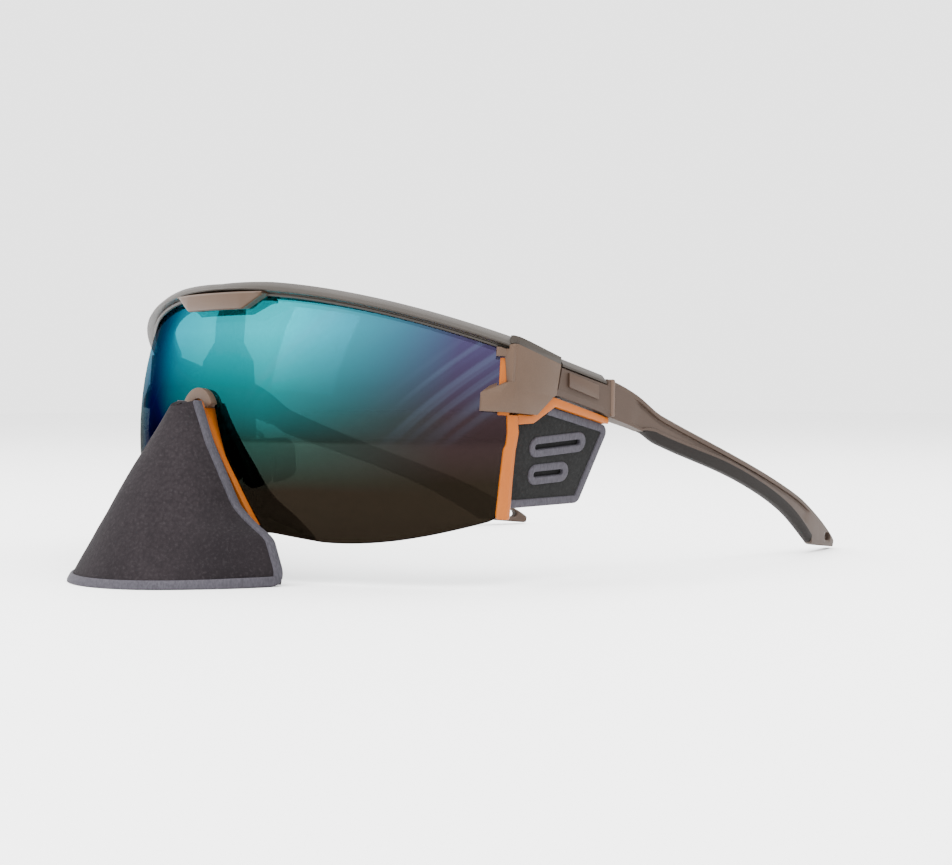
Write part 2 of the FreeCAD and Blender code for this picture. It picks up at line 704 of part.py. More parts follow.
def make_bridge():
    """A plate behind the lens, with an arch that lines the notch and a rim in front of it."""
    bridge = body("bridge_body")
    front = -d["bridge_front"] - d["bridge_depth"]
    pad(bridge, "bridge_plate", "XZ_Plane", [BRIDGE_OUTLINE], d["bridge_depth"], front)
    lip = body("bridge_lip")
    radius = d["notch_radius"] - 0.05
    centre = d["notch_centre"]
    side = size(ARCH_HALF_ANGLE)
    inner = radius - ARCH_THICKNESS
    arch = [(sine(side) * radius, centre + cosine(side) * radius),
            ("arc", (0, centre + radius), (-sine(side) * radius, centre + cosine(side) * radius)),
            (-sine(side) * inner, centre + cosine(side) * inner),
            ("arc", (0, centre + inner), (sine(side) * inner, centre + cosine(side) * inner))]
    pad(lip, "bridge_lip_arch", "XZ_Plane", [arch], 6.0, -4.6)
    wide = radius + 1.2
    rim = [(sine(side) * wide, centre + cosine(side) * wide),
           ("arc", (0, centre + wide), (-sine(side) * wide, centre + cosine(side) * wide))] + arch[2:]
    pad(lip, "bridge_rim", "XZ_Plane", [rim], 2.0, 0.2)
    whole = fuse("bridge_whole", place(bridge, FRONT), place(lip, FRONT))
    holes = body("wire_holes")
    radius = d["wire_radius"] + d["running_gap"]
    for side, name in ((1, "left"), (-1, "right")):
        x, z = d["wire_x"] * side, d["wire_z"]
        pad(holes, "wire_hole_" + name, "XZ_Plane", [disc(radius, x, z)], 20, both=True)
    clear = cut("bridge_behind_lens", cut("bridge_trimmed", whole, brow_bar), lens)
    return cut("bridge_bored", clear, place(holes, FRONT))


nose_bridge = keep(make_bridge(), "nose_bridge")


WIRE_START = 3.4
WIRE_BEND = 8.6
BEND_RADIUS = 2.4
WIRE_DROP = 4.6


def make_wire():
    """A wire that leaves the bridge backwards and bends down into the pad."""
    wire = body("wire_body")
    x, z = d["wire_x"], d["wire_z"]
    radius = d["wire_radius"]
    profile = sketch_on(wire, "wire_section", "XZ_Plane", [disc(radius, x, z)], -WIRE_START)
    path = wire.newObject("Sketcher::SketchObject", "wire_path")
    path.AttachmentSupport = [(origin_plane(wire, "YZ_Plane"), "")]
    path.MapMode = "FlatFace"
    path.AttachmentOffset = Placement(Vector(0, 0, x.number), Rotation())
    path.setExpression("AttachmentOffset.Base.z", x.text)
    level = z.number
    start, corner = Vector(WIRE_START, level, 0), Vector(WIRE_BEND, level, 0)
    half_turn = BEND_RADIUS * math.sqrt(0.5)
    middle = Vector(WIRE_BEND + half_turn, level - BEND_RADIUS + half_turn, 0)
    down = Vector(WIRE_BEND + BEND_RADIUS, level - BEND_RADIUS, 0)
    path.addGeometry(Part.LineSegment(start, corner), False)
    path.addGeometry(Part.Arc(down, middle, corner), False)
    path.addGeometry(Part.LineSegment(down, Vector(down.x, level - WIRE_DROP, 0)), False)
    sweep = wire.newObject("PartDesign::AdditivePipe", "wire_sweep")
    sweep.Profile = profile
    sweep.Spine = path
    return place(wire, FRONT)


keep_pair(make_wire(), "pad_wire")


PAD_OUTLINE = [(-6.2, -4.0), ("arc", (-4.6, -6.0), (-2.4, -5.8)), (0.2, -5.0), (0.6, 1.4), (1.2, 1.4),
               (1.6, -4.6), (5.0, -3.6), ("arc", (6.6, -2.4), (7.0, -0.6)), (7.4, 3.4),
               ("arc", (6.4, 5.8), (4.0, 6.2)), (-4.0, 5.2), ("arc", (-6.4, 4.2), (-7.0, 1.8))]
PAD_CENTRE = (9.8, 11.4, 11.4)
PAD_TURN = -10


def make_pad():
    """A paddle of soft plastic with a slit up its lower edge, leaning out like a nose's side."""
    owner = body("pad_body")
    pad(owner, "pad_outline", "YZ_Plane", [PAD_OUTLINE], d["pad_thickness"], both=True)
    lean = Rotation(Vector(0, 0, 1), PAD_TURN) * Rotation(Vector(0, 1, 0), -d["pad_splay"].number)
    return place(owner, FRONT * Placement(Vector(*PAD_CENTRE), lean))


keep_pair(make_pad(), "nose_pad")


# ---------------------------------------------------------------- nose clip and nose cover

def notch_band(name, wide, narrow, low, high, front, back):
    """A band that follows the notch between two distances from its edge, and between two heights."""
    owner = body(name)
    pad(owner, name + "_outer", "XZ_Plane", [notch_edge(wide)], back - front, -back)
    doc.recompute()
    pocket(owner, name + "_inner", "XZ_Plane", [notch_edge(narrow)], ALL_ROUND)
    pocket(owner, name + "_above", "XZ_Plane", [rectangle(-60, high, 60, 90)], ALL_ROUND)
    pocket(owner, name + "_below", "XZ_Plane", [rectangle(-60, -90, 60, low)], ALL_ROUND)
    return place(owner, FRONT)


def make_nose_clip():
    """Grips the notch's edge from in front and follows it over the top, inside the bridge's arch."""
    wall = d["clip_wall"]
    gap = d["fit_gap"]
    outer = d["lens_radius"]
    low, high = -3.4, 15.0
    narrow = -wall - gap - 0.4
    lip_wall = bowed("nose_lip_wall", sector("nose_lip_wedge", -22, 22), outer + gap, outer + gap + wall)
    lip_band = notch_band("nose_lip_band", d["clip_grip"], narrow, low, high, -12, 12)
    lip = common("nose_lip", lip_wall, lip_band)
    web_sector = sector("nose_web_wedge", -22, 22)
    web_wall = bowed("nose_web_wall", web_sector, outer - d["lens_thickness"], outer + gap + wall)
    web = common("nose_web", web_wall, notch_band("nose_web_band", -gap, narrow, low, high, -12, 12))
    over = notch_band("nose_over_band", -wall - gap - 0.3, -wall - gap - 1.3, 8.0, 60, -1.6, 1.4)
    return fuse("nose_clip_whole", lip, web, over)


nose_clip = keep(make_nose_clip(), "nose_clip")


# height, half width and depth of the side edges, reach in front of the lens
COVER_LEVELS = [(24.6, 2.9, -3.1, 8.6), (15.2, 9.1, -3.0, 13.4), (9.1, 12.6, -1.8, 16.4),
                (1.3, 16.2, 0.3, 20.2), (-2.0, 19.9, 1.7, 21.9), (-5.4, 26.7, 2.3, 23.6),
                (-12.4, 30.6, 2.4, 26.6), (-20.0, 29.0, 2.4, 30.2)]
COVER_STEPS = 6


def cover_loop(width, edge, reach, inset):
    """One level of the cover: half an ellipse of cloth seen from above, closed across the back."""
    wide = width - inset
    deep = reach + edge - inset
    half = []
    for step in range(COVER_STEPS + 1):
        turn = math.radians(90.0 * step / COVER_STEPS)
        half.append((wide * math.sin(turn), edge - deep * math.cos(turn)))
    if inset:
        half.append((wide, edge + 4.0))
    return half + [(-x, y) for x, y in reversed(half[1:])]


def make_cover_skin(name, inset):
    """A closed loft through the cover's levels, made smaller all round by inset."""
    owner = body(name)
    sketches = []
    for index, (height, width, edge, reach) in enumerate(COVER_LEVELS):
        loop = cover_loop(width, edge, reach, inset)
        sketches.append(sketch_on(owner, f"{name}_level_{index}", "XY_Plane", [loop], height))
    loft = owner.newObject("PartDesign::AdditiveLoft", name + "_loft")
    loft.Profile = sketches[0]
    loft.Sections = sketches[1:]
    loft.Ruled = True
    return place(owner, FRONT)


def make_cover():
    outer = make_cover_skin("cover_outside", 0)
    inner = make_cover_skin("cover_inside", d["cover_fabric"].number)
    shell = cut("cover_shell", outer, inner)
    floor = doc.addObject("Part::Box", "cover_floor_cut")
    floor.Length, floor.Width, floor.Height = 200, 200, 50
    floor.Placement = Placement(Vector(-100, -150, -50), Rotation())  # its top is the table
    trimmed = cut("cover_trimmed", shell, floor)
    fitted = cut("cover_fitted", cut("cover_clear_of_clip", trimmed, nose_clip), lens)
    hem = doc.addObject("Part::Box", "cover_hem_zone")
    hem.Length, hem.Width = 200, 200
    hem.setExpression("Height", "dims.cover_binding")
    hem.Placement = Placement(Vector(-100, -150, 0), Rotation())
    keep(common("nose_binding_shape", fitted, hem), "nose_binding")
    keep(cut("nose_cover_shape", fitted, hem), "nose_cover")


make_cover()


# ---------------------------------------------------------------- check and write

doc.recompute()
for thing in doc.Objects:
    if "Invalid" in thing.State or "Error" in thing.State:
        raise RuntimeError(f"{thing.Label} failed: {thing.State}")
for thing in sub_parts:
    if thing.Shape.isNull() or not thing.Shape.isValid() or not thing.Shape.Solids:
        raise RuntimeError(f"{thing.Label} has no valid shape")

os.makedirs("parts", exist_ok=True)
for thing in sub_parts:
    thing.Shape.exportStep(f"parts/{thing.Label}.step")
    extent = thing.Shape.optimalBoundingBox(False)
    print(thing.Label, len(thing.Shape.Solids), round(thing.Shape.Volume, 1),
          round(extent.XLength, 2), round(extent.YLength, 2), round(extent.ZLength, 2))
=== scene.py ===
"""Shield glacier glasses with fabric side shields and nose cover, on a pale table.

Working frames, all in millimetres: FRONT has the lens upright (x across, y back from the lens, z up),
TEMPLE has z along the left hinge axis and y back along the left temple, and SHIELD has x square to the
left side shield. Right-hand pieces are mirrored in x.
"""

import json
import math

import bmesh
import bpy
from mathutils import Matrix, Vector


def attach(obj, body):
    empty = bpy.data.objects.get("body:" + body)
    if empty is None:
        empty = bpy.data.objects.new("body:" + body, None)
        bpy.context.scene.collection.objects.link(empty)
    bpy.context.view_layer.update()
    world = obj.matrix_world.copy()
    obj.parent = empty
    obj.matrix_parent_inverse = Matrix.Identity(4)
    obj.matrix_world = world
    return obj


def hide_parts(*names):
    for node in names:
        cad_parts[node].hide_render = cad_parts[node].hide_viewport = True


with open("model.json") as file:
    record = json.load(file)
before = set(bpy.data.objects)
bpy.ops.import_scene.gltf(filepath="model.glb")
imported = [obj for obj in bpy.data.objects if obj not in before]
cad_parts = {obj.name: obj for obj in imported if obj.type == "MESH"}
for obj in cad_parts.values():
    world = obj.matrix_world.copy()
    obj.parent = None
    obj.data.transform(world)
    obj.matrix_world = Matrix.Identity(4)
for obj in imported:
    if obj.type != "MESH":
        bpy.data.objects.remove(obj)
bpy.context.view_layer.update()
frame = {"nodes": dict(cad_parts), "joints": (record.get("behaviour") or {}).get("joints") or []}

# ---------------------------------------------------------------- sizes and working frames

MM = 0.001
LENS_R = 90.5
LENS_AXIS = 89.8
LENS_EQUATOR = 22.6
LENS_THICK = 2.2
LENS_HALF = 49.45
BROW_R = 97.5
BROW_AXIS = 98.35
BROW_SLOPE = 0.405
BROW_UNDER = 50.6
BROW_TOP = 53.9
LEAN = 4.5
HINGE_TILT = 10.15
NOTCH_R = 5.0
NOTCH_Z = 21.6
FLOOR_H = 15.8
SIDES = (("left", 1), ("right", -1))


def joint(name):
    return next(j for j in frame["joints"] if j["name"] == name)


def turn(degrees, axis):
    return Matrix.Rotation(math.radians(degrees), 4, axis)


hinge = Vector(joint("temple_fold_left")["pos_m"])
FRONT = Matrix.Translation((0, -0.0679, FLOOR_H * MM)) @ turn(-LEAN, "X") @ Matrix.Scale(MM, 4)
TEMPLE = Matrix.Translation(hinge) @ turn(-LEAN - HINGE_TILT, "X") @ Matrix.Scale(MM, 4)
SHIELD = FRONT @ Matrix.Translation((68.8, 0, 27)) @ turn(9, "Y")


# ---------------------------------------------------------------- mesh helpers

def finish_mesh(bm, sharp=35.0):
    """Welds, orients and smooths a mesh, and keeps its corners over the sharp angle."""
    bmesh.ops.remove_doubles(bm, verts=bm.verts, dist=0.00002)
    bmesh.ops.dissolve_degenerate(bm, edges=bm.edges, dist=0.00001)
    bmesh.ops.recalc_face_normals(bm, faces=bm.faces)
    for face in bm.faces:
        face.smooth = True
    for edge in bm.edges:
        edge.smooth = len(edge.link_faces) == 2 and edge.calc_face_angle(0) < math.radians(sharp)


def new_object(name, mesh):
    thing = bpy.data.objects.new(name, mesh)
    bpy.context.scene.collection.objects.link(thing)
    return thing


def solid(name, verts, faces, matrix, side=1, colours=None, sharp=35.0):
    """A mesh object from points in a working frame, mirrored if side is -1."""
    flip = Matrix.Diagonal((side, 1, 1, 1))
    place = flip @ matrix
    mesh = bpy.data.meshes.new(name)
    mesh.from_pydata([place @ Vector(v) for v in verts], [], faces)
    if colours:
        for polygon, index in zip(mesh.polygons, colours):
            polygon.material_index = index
    bm = bmesh.new()
    bm.from_mesh(mesh)
    finish_mesh(bm, sharp)
    bm.to_mesh(mesh)
    bm.free()
    return new_object(name, mesh)


def bevel(thing, width, segments=3, angle=30.0):
    """Rounds a piece's corners by a width in millimetres."""
    modifier = thing.modifiers.new("round", "BEVEL")
    modifier.width = width * MM
    modifier.segments = segments
    modifier.limit_method = "ANGLE"
    modifier.angle_limit = math.radians(angle)
    modifier.harden_normals = True
    modifier.miter_outer = "MITER_ARC"
    return thing


def bake(thing):
    """Applies a piece's modifiers to its mesh."""
    graph = bpy.context.evaluated_depsgraph_get()
    mesh = bpy.data.meshes.new_from_object(thing.evaluated_get(graph))
    thing.modifiers.clear()
    thing.data = mesh
    return thing


def loft(sections, caps=True):
    """Points and faces of a tube through closed sections with the same number of points."""
    count = len(sections[0])
    verts = [p for section in sections for p in section]
    faces = []
    for i in range(len(sections) - 1):
        for j in range(count):
            k = (j + 1) % count
            faces.append((i * count + j, i * count + k, (i + 1) * count + k, (i + 1) * count + j))
    if caps:
        faces.append(tuple(range(count))[::-1])
        faces.append(tuple(range(len(verts) - count, len(verts))))
    return verts, faces


def plate(name, loops, low, high, matrix, side=1, edge=0.15):
    """A flat plate with round edges, with holes where loops lie inside others. It is drawn in a
    working frame's y, z plane, from x = low to x = high."""
    curve = bpy.data.curves.new(name, "CURVE")
    curve.dimensions = "2D"
    curve.fill_mode = "BOTH"
    curve.extrude = (high - low) / 2 - edge
    curve.bevel_depth = edge
    curve.bevel_resolution = 2
    curve.offset = -edge
    for loop in loops:
        spline = curve.splines.new("POLY")
        spline.points.add(len(loop) - 1)
        for point, (a, b) in zip(spline.points, loop):
            point.co = (a, b, 0, 1)
        spline.use_cyclic_u = True
    drawn = new_object(name + "_drawing", curve)
    graph = bpy.context.evaluated_depsgraph_get()
    mesh = bpy.data.meshes.new_from_object(drawn.evaluated_get(graph))
    bpy.data.objects.remove(drawn)
    to_plane = Matrix(((0, 0, 1, (low + high) / 2), (1, 0, 0, 0), (0, 1, 0, 0), (0, 0, 0, 1)))
    mesh.transform(Matrix.Diagonal((side, 1, 1, 1)) @ matrix @ to_plane)
    bm = bmesh.new()
    bm.from_mesh(mesh)
    finish_mesh(bm)
    bm.to_mesh(mesh)
    bm.free()
    mesh.name = name
    return new_object(name, mesh)


def arc_points(centre, radius, start, end, count):
    """Points on an arc, its angles in degrees from the first axis."""
    spots = []
    for i in range(count + 1):
        angle = math.radians(start + (end - start) * i / count)
        spots.append((centre[0] + radius * math.cos(angle), centre[1] + radius * math.sin(angle)))
    return spots


def rounded(corners, radius, inset=0.0, count=6):
    """A polygon with round corners, its edges moved inwards by inset. Corners run anticlockwise."""
    spots = [Vector(c) for c in corners]
    loop = []
    for index, spot in enumerate(spots):
        to_here = (spot - spots[index - 1]).normalized()
        onward = (spots[(index + 1) % len(spots)] - spot).normalized()
        bend = math.atan2(to_here.x * onward.y - to_here.y * onward.x, to_here.dot(onward))
        inwards = (Vector((-to_here.y, to_here.x)) + Vector((-onward.y, onward.x))).normalized()
        corner = spot + inwards * (inset / math.cos(bend / 2))
        hub = corner + inwards * math.copysign(radius / math.cos(bend / 2), bend)
        first = corner - to_here * radius * math.tan(abs(bend) / 2)
        start = math.atan2(first.y - hub.y, first.x - hub.x)
        for i in range(count + 1):
            angle = start + bend * i / count
            loop.append((hub.x + radius * math.cos(angle), hub.y + radius * math.sin(angle)))
    return loop


def oblong(y, z, length, width, angle):
    """A round-ended slot."""
    reach = (length - width) / 2
    along = Vector((math.cos(math.radians(angle)), math.sin(math.radians(angle))))
    ends = arc_points((0, 0), width / 2, angle - 90, angle + 90, 10)
    loop = [(y + along.x * reach + a, z + along.y * reach + b) for a, b in ends]
    return loop + [(y - along.x * reach - a, z - along.y * reach - b) for a, b in ends]


def between(table, x):
    """Straight-line value at x from rows of (x, value)."""
    if x <= table[0][0]:
        return table[0][1]
    for (x0, v0), (x1, v1) in zip(table, table[1:]):
        if x <= x1:
            return v0 + (v1 - v0) * (x - x0) / (x1 - x0)
    return table[-1][1]


def eased(table, x):
    """Smooth value at x from rows of (x, value), by cubic pieces through every row."""
    rows = sorted(table)
    if x <= rows[0][0]:
        return rows[0][1]
    if x >= rows[-1][0]:
        return rows[-1][1]
    slopes = []
    for i in range(len(rows)):
        a, b = rows[max(i - 1, 0)], rows[min(i + 1, len(rows) - 1)]
        slopes.append((b[1] - a[1]) / (b[0] - a[0]))
    i = next(k for k in range(len(rows) - 1) if x <= rows[k + 1][0])
    (x0, v0), (x1, v1) = rows[i], rows[i + 1]
    gap = x1 - x0
    u = (x - x0) / gap
    return (v0 * (2 * u ** 3 - 3 * u ** 2 + 1) + slopes[i] * gap * (u ** 3 - 2 * u ** 2 + u)
            + v1 * (3 * u ** 2 - 2 * u ** 3) + slopes[i + 1] * gap * (u ** 3 - u ** 2))


def steps(low, high, count):
    return [low + (high - low) * i / count for i in range(count + 1)]


# ---------------------------------------------------------------- materials

def linear(hex_colour):
    """A colour such as "8f7a6b" as linear light."""
    parts = [int(hex_colour[i:i + 2], 16) / 255 for i in (0, 2, 4)]
    return tuple(c / 12.92 if c <= 0.04045 else ((c + 0.055) / 1.055) ** 2.4 for c in parts) + (1.0,)


class Nodes:
    """Builds one node material."""

    def __init__(self, name):
        self.material = bpy.data.materials.new(name)
        self.material.use_nodes = True
        self.tree = self.material.node_tree
        self.shader = self.tree.nodes["Principled BSDF"]
        self.place = self.add("ShaderNodeTexCoord").outputs["Object"]

    def add(self, kind, **settings):
        node = self.tree.nodes.new(kind)
        for key, value in settings.items():
            if key in node.inputs:
                node.inputs[key].default_value = value
            else:
                setattr(node, key, value)
        return node

    def link(self, source, target):
        self.tree.links.new(source, target)

    def stretched(self, scale):
        node = self.add("ShaderNodeMapping")
        node.inputs["Scale"].default_value = scale
        self.link(self.place, node.inputs["Vector"])
        return node.outputs["Vector"]

    def noise(self, scale, detail=4.0, rough=0.6, stretch=(1, 1, 1)):
        node = self.add("ShaderNodeTexNoise")
        node.inputs["Scale"].default_value = scale
        node.inputs["Detail"].default_value = detail
        node.inputs["Roughness"].default_value = rough
        self.link(self.stretched(stretch), node.inputs["Vector"])
        return node.outputs["Fac"]

    def ramp(self, source, *stops):
        node = self.add("ShaderNodeValToRGB")
        elements = node.color_ramp.elements
        while len(elements) < len(stops):
            elements.new(0.5)
        for element, (place, colour) in zip(elements, stops):
            element.position = place
            element.color = colour
        self.link(source, node.inputs["Fac"])
        return node.outputs["Color"]

    def spread(self, source, low, high, low_in=0.0, high_in=1.0):
        node = self.add("ShaderNodeMapRange")
        for key, value in (("From Min", low_in), ("From Max", high_in), ("To Min", low), ("To Max", high)):
            node.inputs[key].default_value = value
        self.link(source, node.inputs["Value"])
        return node.outputs["Result"]

    def maths(self, operation, first, second):
        node = self.add("ShaderNodeMath", operation=operation)
        for index, value in enumerate((first, second)):
            if isinstance(value, (int, float)):
                node.inputs[index].default_value = value
            else:
                self.link(value, node.inputs[index])
        return node.outputs["Value"]

    def mix(self, amount, first, second, blend="MIX"):
        node = self.add("ShaderNodeMix", data_type="RGBA", blend_type=blend)
        for index, value in ((0, amount), (6, first), (7, second)):
            if isinstance(value, (int, float, tuple)):
                node.inputs[index].default_value = value
            else:
                self.link(value, node.inputs[index])
        return node.outputs[2]

    def bump(self, height, distance, strength=1.0):
        node = self.add("ShaderNodeBump")
        node.inputs["Strength"].default_value = strength
        node.inputs["Distance"].default_value = distance
        self.link(height, node.inputs["Height"])
        self.link(node.outputs["Normal"], self.shader.inputs["Normal"])

    def set(self, **values):
        for key, value in values.items():
            self.shader.inputs[key.replace("_", " ")].default_value = value


def moulded(name, colour, dark, rough=0.42, grain=0.00002):
    """Satin moulded plastic: faint flow variation, fine spark-eroded grain, rubbed high spots."""
    n = Nodes(name)
    cloud = n.noise(60, 3)
    fine = n.noise(5200, 2, 0.5)
    tone = n.mix(n.spread(cloud, 0.0, 1.0, 0.3, 0.7), linear(dark), linear(colour))
    speck = n.mix(n.spread(fine, 0.0, 0.25, 0.45, 0.8), tone, (1.0, 0.96, 0.92, 1.0), "SOFT_LIGHT")
    n.link(speck, n.shader.inputs["Base Color"])
    n.link(n.spread(n.noise(240, 4), rough - 0.06, rough + 0.08), n.shader.inputs["Roughness"])
    n.bump(fine, grain, 0.5)
    n.set(Specular_IOR_Level=0.22)
    return n.material


def soft_rubber(name, colour, dark):
    n = Nodes(name)
    fine = n.noise(3600, 3, 0.6)
    n.link(n.mix(n.noise(90, 3), linear(dark), linear(colour)), n.shader.inputs["Base Color"])
    n.link(n.spread(fine, 0.62, 0.8), n.shader.inputs["Roughness"])
    n.bump(fine, 0.00003, 0.6)
    n.set(Specular_IOR_Level=0.12)
    return n.material


def suede(name, colour, pale, dark):
    """Napped knit: a short random pile, tiny pale fibre tips and broad brushed patches."""
    n = Nodes(name)
    pile = n.noise(1500, 6, 0.75)
    tips = n.add("ShaderNodeTexVoronoi", feature="F1")
    tips.inputs["Scale"].default_value = 1300
    n.link(n.stretched((1, 1, 0.8)), tips.inputs["Vector"])
    brushed = n.noise(48, 3, 0.55, (1, 1, 0.5))
    ground = n.mix(n.spread(brushed, 0.0, 1.0, 0.35, 0.65), linear(dark), linear(colour))
    flecked = n.mix(n.spread(pile, 0.0, 0.75, 0.5, 0.78), ground, linear(pale))
    pits = n.mix(n.spread(tips.outputs["Distance"], 0.0, 0.5, 0.35, 0.75), flecked, linear(dark))
    n.link(pits, n.shader.inputs["Base Color"])
    n.bump(n.maths("ADD", pile, n.spread(tips.outputs["Distance"], 0.35, 0.0)), 0.00016, 0.8)
    n.set(Roughness=0.95, Specular_IOR_Level=0.04, Sheen_Weight=0.02, Sheen_Roughness=0.55)
    return n.material


def tape(name, colour, dark):
    """Bonded edge tape: a fine rib across a smooth woven face."""
    n = Nodes(name)
    rib = n.noise(2600, 2, 0.4, (1, 1, 0.35))
    woven = n.mix(n.spread(rib, 0.0, 1.0, 0.3, 0.75), linear(dark), linear(colour))
    n.link(woven, n.shader.inputs["Base Color"])
    n.bump(rib, 0.00006, 0.6)
    n.set(Roughness=0.72, Specular_IOR_Level=0.1, Sheen_Weight=0.02, Sheen_Roughness=0.4)
    return n.material


def steel(name):
    n = Nodes(name)
    lines = n.noise(900, 3, 0.6, (1, 1, 12))
    n.link(n.mix(lines, (0.34, 0.33, 0.32, 1), (0.58, 0.57, 0.56, 1)), n.shader.inputs["Base Color"])
    n.link(n.spread(lines, 0.22, 0.4), n.shader.inputs["Roughness"])
    n.bump(lines, 0.00001, 0.5)
    n.set(Metallic=1.0)
    return n.material


# the lens's colours, in linear light: the grading through them is partly the coating's own colour and partly
# painted reflection, and the last is the colour of the painted glints
BROWN = (0.012, 0.009, 0.006, 1)
BOTTLE = (0.013, 0.04, 0.032, 1)
TEAL = (0.005, 0.17, 0.18, 1)
BRIGHT_TEAL = (0.001, 0.4, 0.46, 1)
DUSK = (0.03, 0.018, 0.02, 1)
VIOLET = (0.06, 0.05, 0.125, 1)
# painted reflection: the colour of the slanting glints
PAINTED_GLINT = (0.14, 0.22, 0.32, 1)
# where the lens's changes of colour, coating and painted reflection alike, start above the table, and how far
# up they go, in metres
COAT_FOOT = 0.0158
COAT_HEIGHT = 0.050
GLINT_SLANT = -42


def mirror_lens(name):
    """A flash mirror graded from teal in the middle and top to violet at the upper corners and brown below,
    partly the coating's own colour and partly painted reflection, with slanting painted glints. Half of it or
    more is tinted glass, so dark things behind it show."""
    n = Nodes(name)
    split = n.add("ShaderNodeSeparateXYZ")  # object space, metres
    n.link(n.place, split.inputs[0])
    across = n.maths("ABSOLUTE", split.outputs["X"], 0.0)
    drift = n.spread(n.noise(22, 2), -0.0015, 0.0015)
    level = n.maths("ADD", split.outputs["Z"], drift)
    # coating colour and painted reflection together: the colour grades with height, brighter teal towards the
    # top, and towards violet at the upper corners
    height = n.spread(level, 0.0, 1.0, COAT_FOOT, COAT_FOOT + COAT_HEIGHT)
    middle = n.ramp(height, (0.1, BROWN), (0.32, BOTTLE), (0.56, TEAL), (0.82, BRIGHT_TEAL))
    corner = n.ramp(height, (0.15, BROWN), (0.42, DUSK), (0.85, VIOLET))
    coat_and_reflection = n.mix(n.spread(across, 0.0, 1.0, 0.02, 0.06), middle, corner)
    # painted reflection: slanting lighter streaks beside the middle, in the upper half of the lens, mixed
    # into the colour
    slant = n.add("ShaderNodeMapping")
    slant.inputs["Rotation"].default_value = (0, math.radians(GLINT_SLANT), 0)
    n.link(n.place, slant.inputs["Vector"])
    thin = n.add("ShaderNodeMapping")
    thin.inputs["Scale"].default_value = (1, 0, 0.02)
    n.link(slant.outputs["Vector"], thin.inputs["Vector"])
    lines = n.add("ShaderNodeTexNoise", Scale=560.0, Detail=1.0, Roughness=0.5)
    n.link(thin.outputs["Vector"], lines.inputs["Vector"])
    clumps = n.add("ShaderNodeTexNoise", Scale=80.0, Detail=1.0, Roughness=0.5)
    n.link(thin.outputs["Vector"], clumps.inputs["Vector"])
    sharp = n.spread(lines.outputs["Fac"], 0.0, 0.4, 0.46, 0.76)
    grouped = n.maths("MULTIPLY", sharp, n.spread(clumps.outputs["Fac"], 0.0, 1.0, 0.44, 0.6))
    beside = n.spread(across, 0.0, 1.0, 0.014, 0.030)
    where = n.maths("MULTIPLY", beside, n.spread(height, 0.0, 1.0, 0.30, 0.62))
    glints = n.maths("MULTIPLY", grouped, where)
    n.link(n.mix(glints, coat_and_reflection, PAINTED_GLINT), n.shader.inputs["Base Color"])
    n.link(n.spread(n.noise(30, 2), 0.03, 0.05), n.shader.inputs["Roughness"])
    # the mirror fades where the glass turns away
    rim = n.add("ShaderNodeLayerWeight", Blend=0.5)
    n.link(n.spread(rim.outputs["Facing"], 0.5, 0.05, 0.6, 0.9), n.shader.inputs["Metallic"])
    n.set(Specular_IOR_Level=0.0, IOR=1.0, Transmission_Weight=1.0)
    n.shader.inputs["Specular Tint"].default_value = (0.1, 0.2, 0.35, 1)
    return n.material


TAUPE = moulded("taupe_plastic", "443429", "3d2e23")
# darker copies of the taupe plastic for the temples and their badges: painted shade on the temples
TAUPE_ARM_SHADE = moulded("taupe_arm_painted_shade", "342820", "2e221a", 0.6)
TAUPE_PANEL_SHADE = moulded("taupe_panel_painted_shade", "3a2c22", "32241b", 0.55)
FRAME_LIGHT = moulded("brow_light", "28231e", "241f1a")
# a darker copy of the brow plastic, painted shade: the brow bar's lower and back faces and the undersides of
# the temples' necks and blocks
FRAME_SHADE = moulded("brow_painted_shade", "18130e", "15100b", 0.5)
# near-black painted shade for the groove above the temples' recessed panels
GROOVE_SHADE = moulded("groove_painted_shade", "0c0908", "090706", 0.6)
RING = moulded("ring_taupe", "4a3a30", "45362b", 0.35)
GRIP = soft_rubber("soft_grip", "161210", "110e0c")
PAD = soft_rubber("pad_rubber", "1a1716", "141211")
ORANGE = moulded("orange_plastic", "884602", "803f02", 0.45)
COVER = suede("cover_suede", "221e20", "332f31", "171416")
PANEL = suede("panel_suede", "1d1d1d", "2a2a2a", "151515")
TAPE = tape("edge_tape", "3e3c42", "312f34")
GAUZE = tape("vent_gauze", "0f0f10", "080808")
STEEL = steel("screw_steel")
LENS = mirror_lens("flash_mirror")


def settle(thing, materials, body, slot, *replaced):
    """Gives a piece its materials and its body, and hides the CAD nodes that it stands for; the slot argument
    is not used.
    """
    thing.data.materials.clear()
    for material in materials:
        thing.data.materials.append(material)
    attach(thing, body)
    if replaced:
        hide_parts(*replaced)
    return thing


def finish_node(name, material, width=0.2, segments=2):
    """A CAD node that stays: its corners are rounded and it gets its material."""
    node = frame["nodes"][name]
    node.data.materials.clear()
    node.data.materials.append(material)
    weld = node.modifiers.new("weld", "WELD")
    weld.merge_threshold = 0.000005
    if width:
        bevel(node, width, segments, 28)
    for polygon in node.data.polygons:
        polygon.use_smooth = True
    return node


# ---------------------------------------------------------------- lens

def wrap(angle, height, off):
    """A point off the lens's ball-shaped outer face, by its angle from straight ahead and height."""
    a = math.radians(angle)
    radius = math.sqrt((LENS_R + off) ** 2 - (height - LENS_EQUATOR) ** 2)
    return (radius * math.sin(a), LENS_AXIS - radius * math.cos(a), height)


def lens_face(x, z, off=0.0):
    """Depth of the lens's outer face at x, z in the front frame, moved outwards by off."""
    return LENS_AXIS - math.sqrt((LENS_R + off) ** 2 - (z - LENS_EQUATOR) ** 2 - x * x)


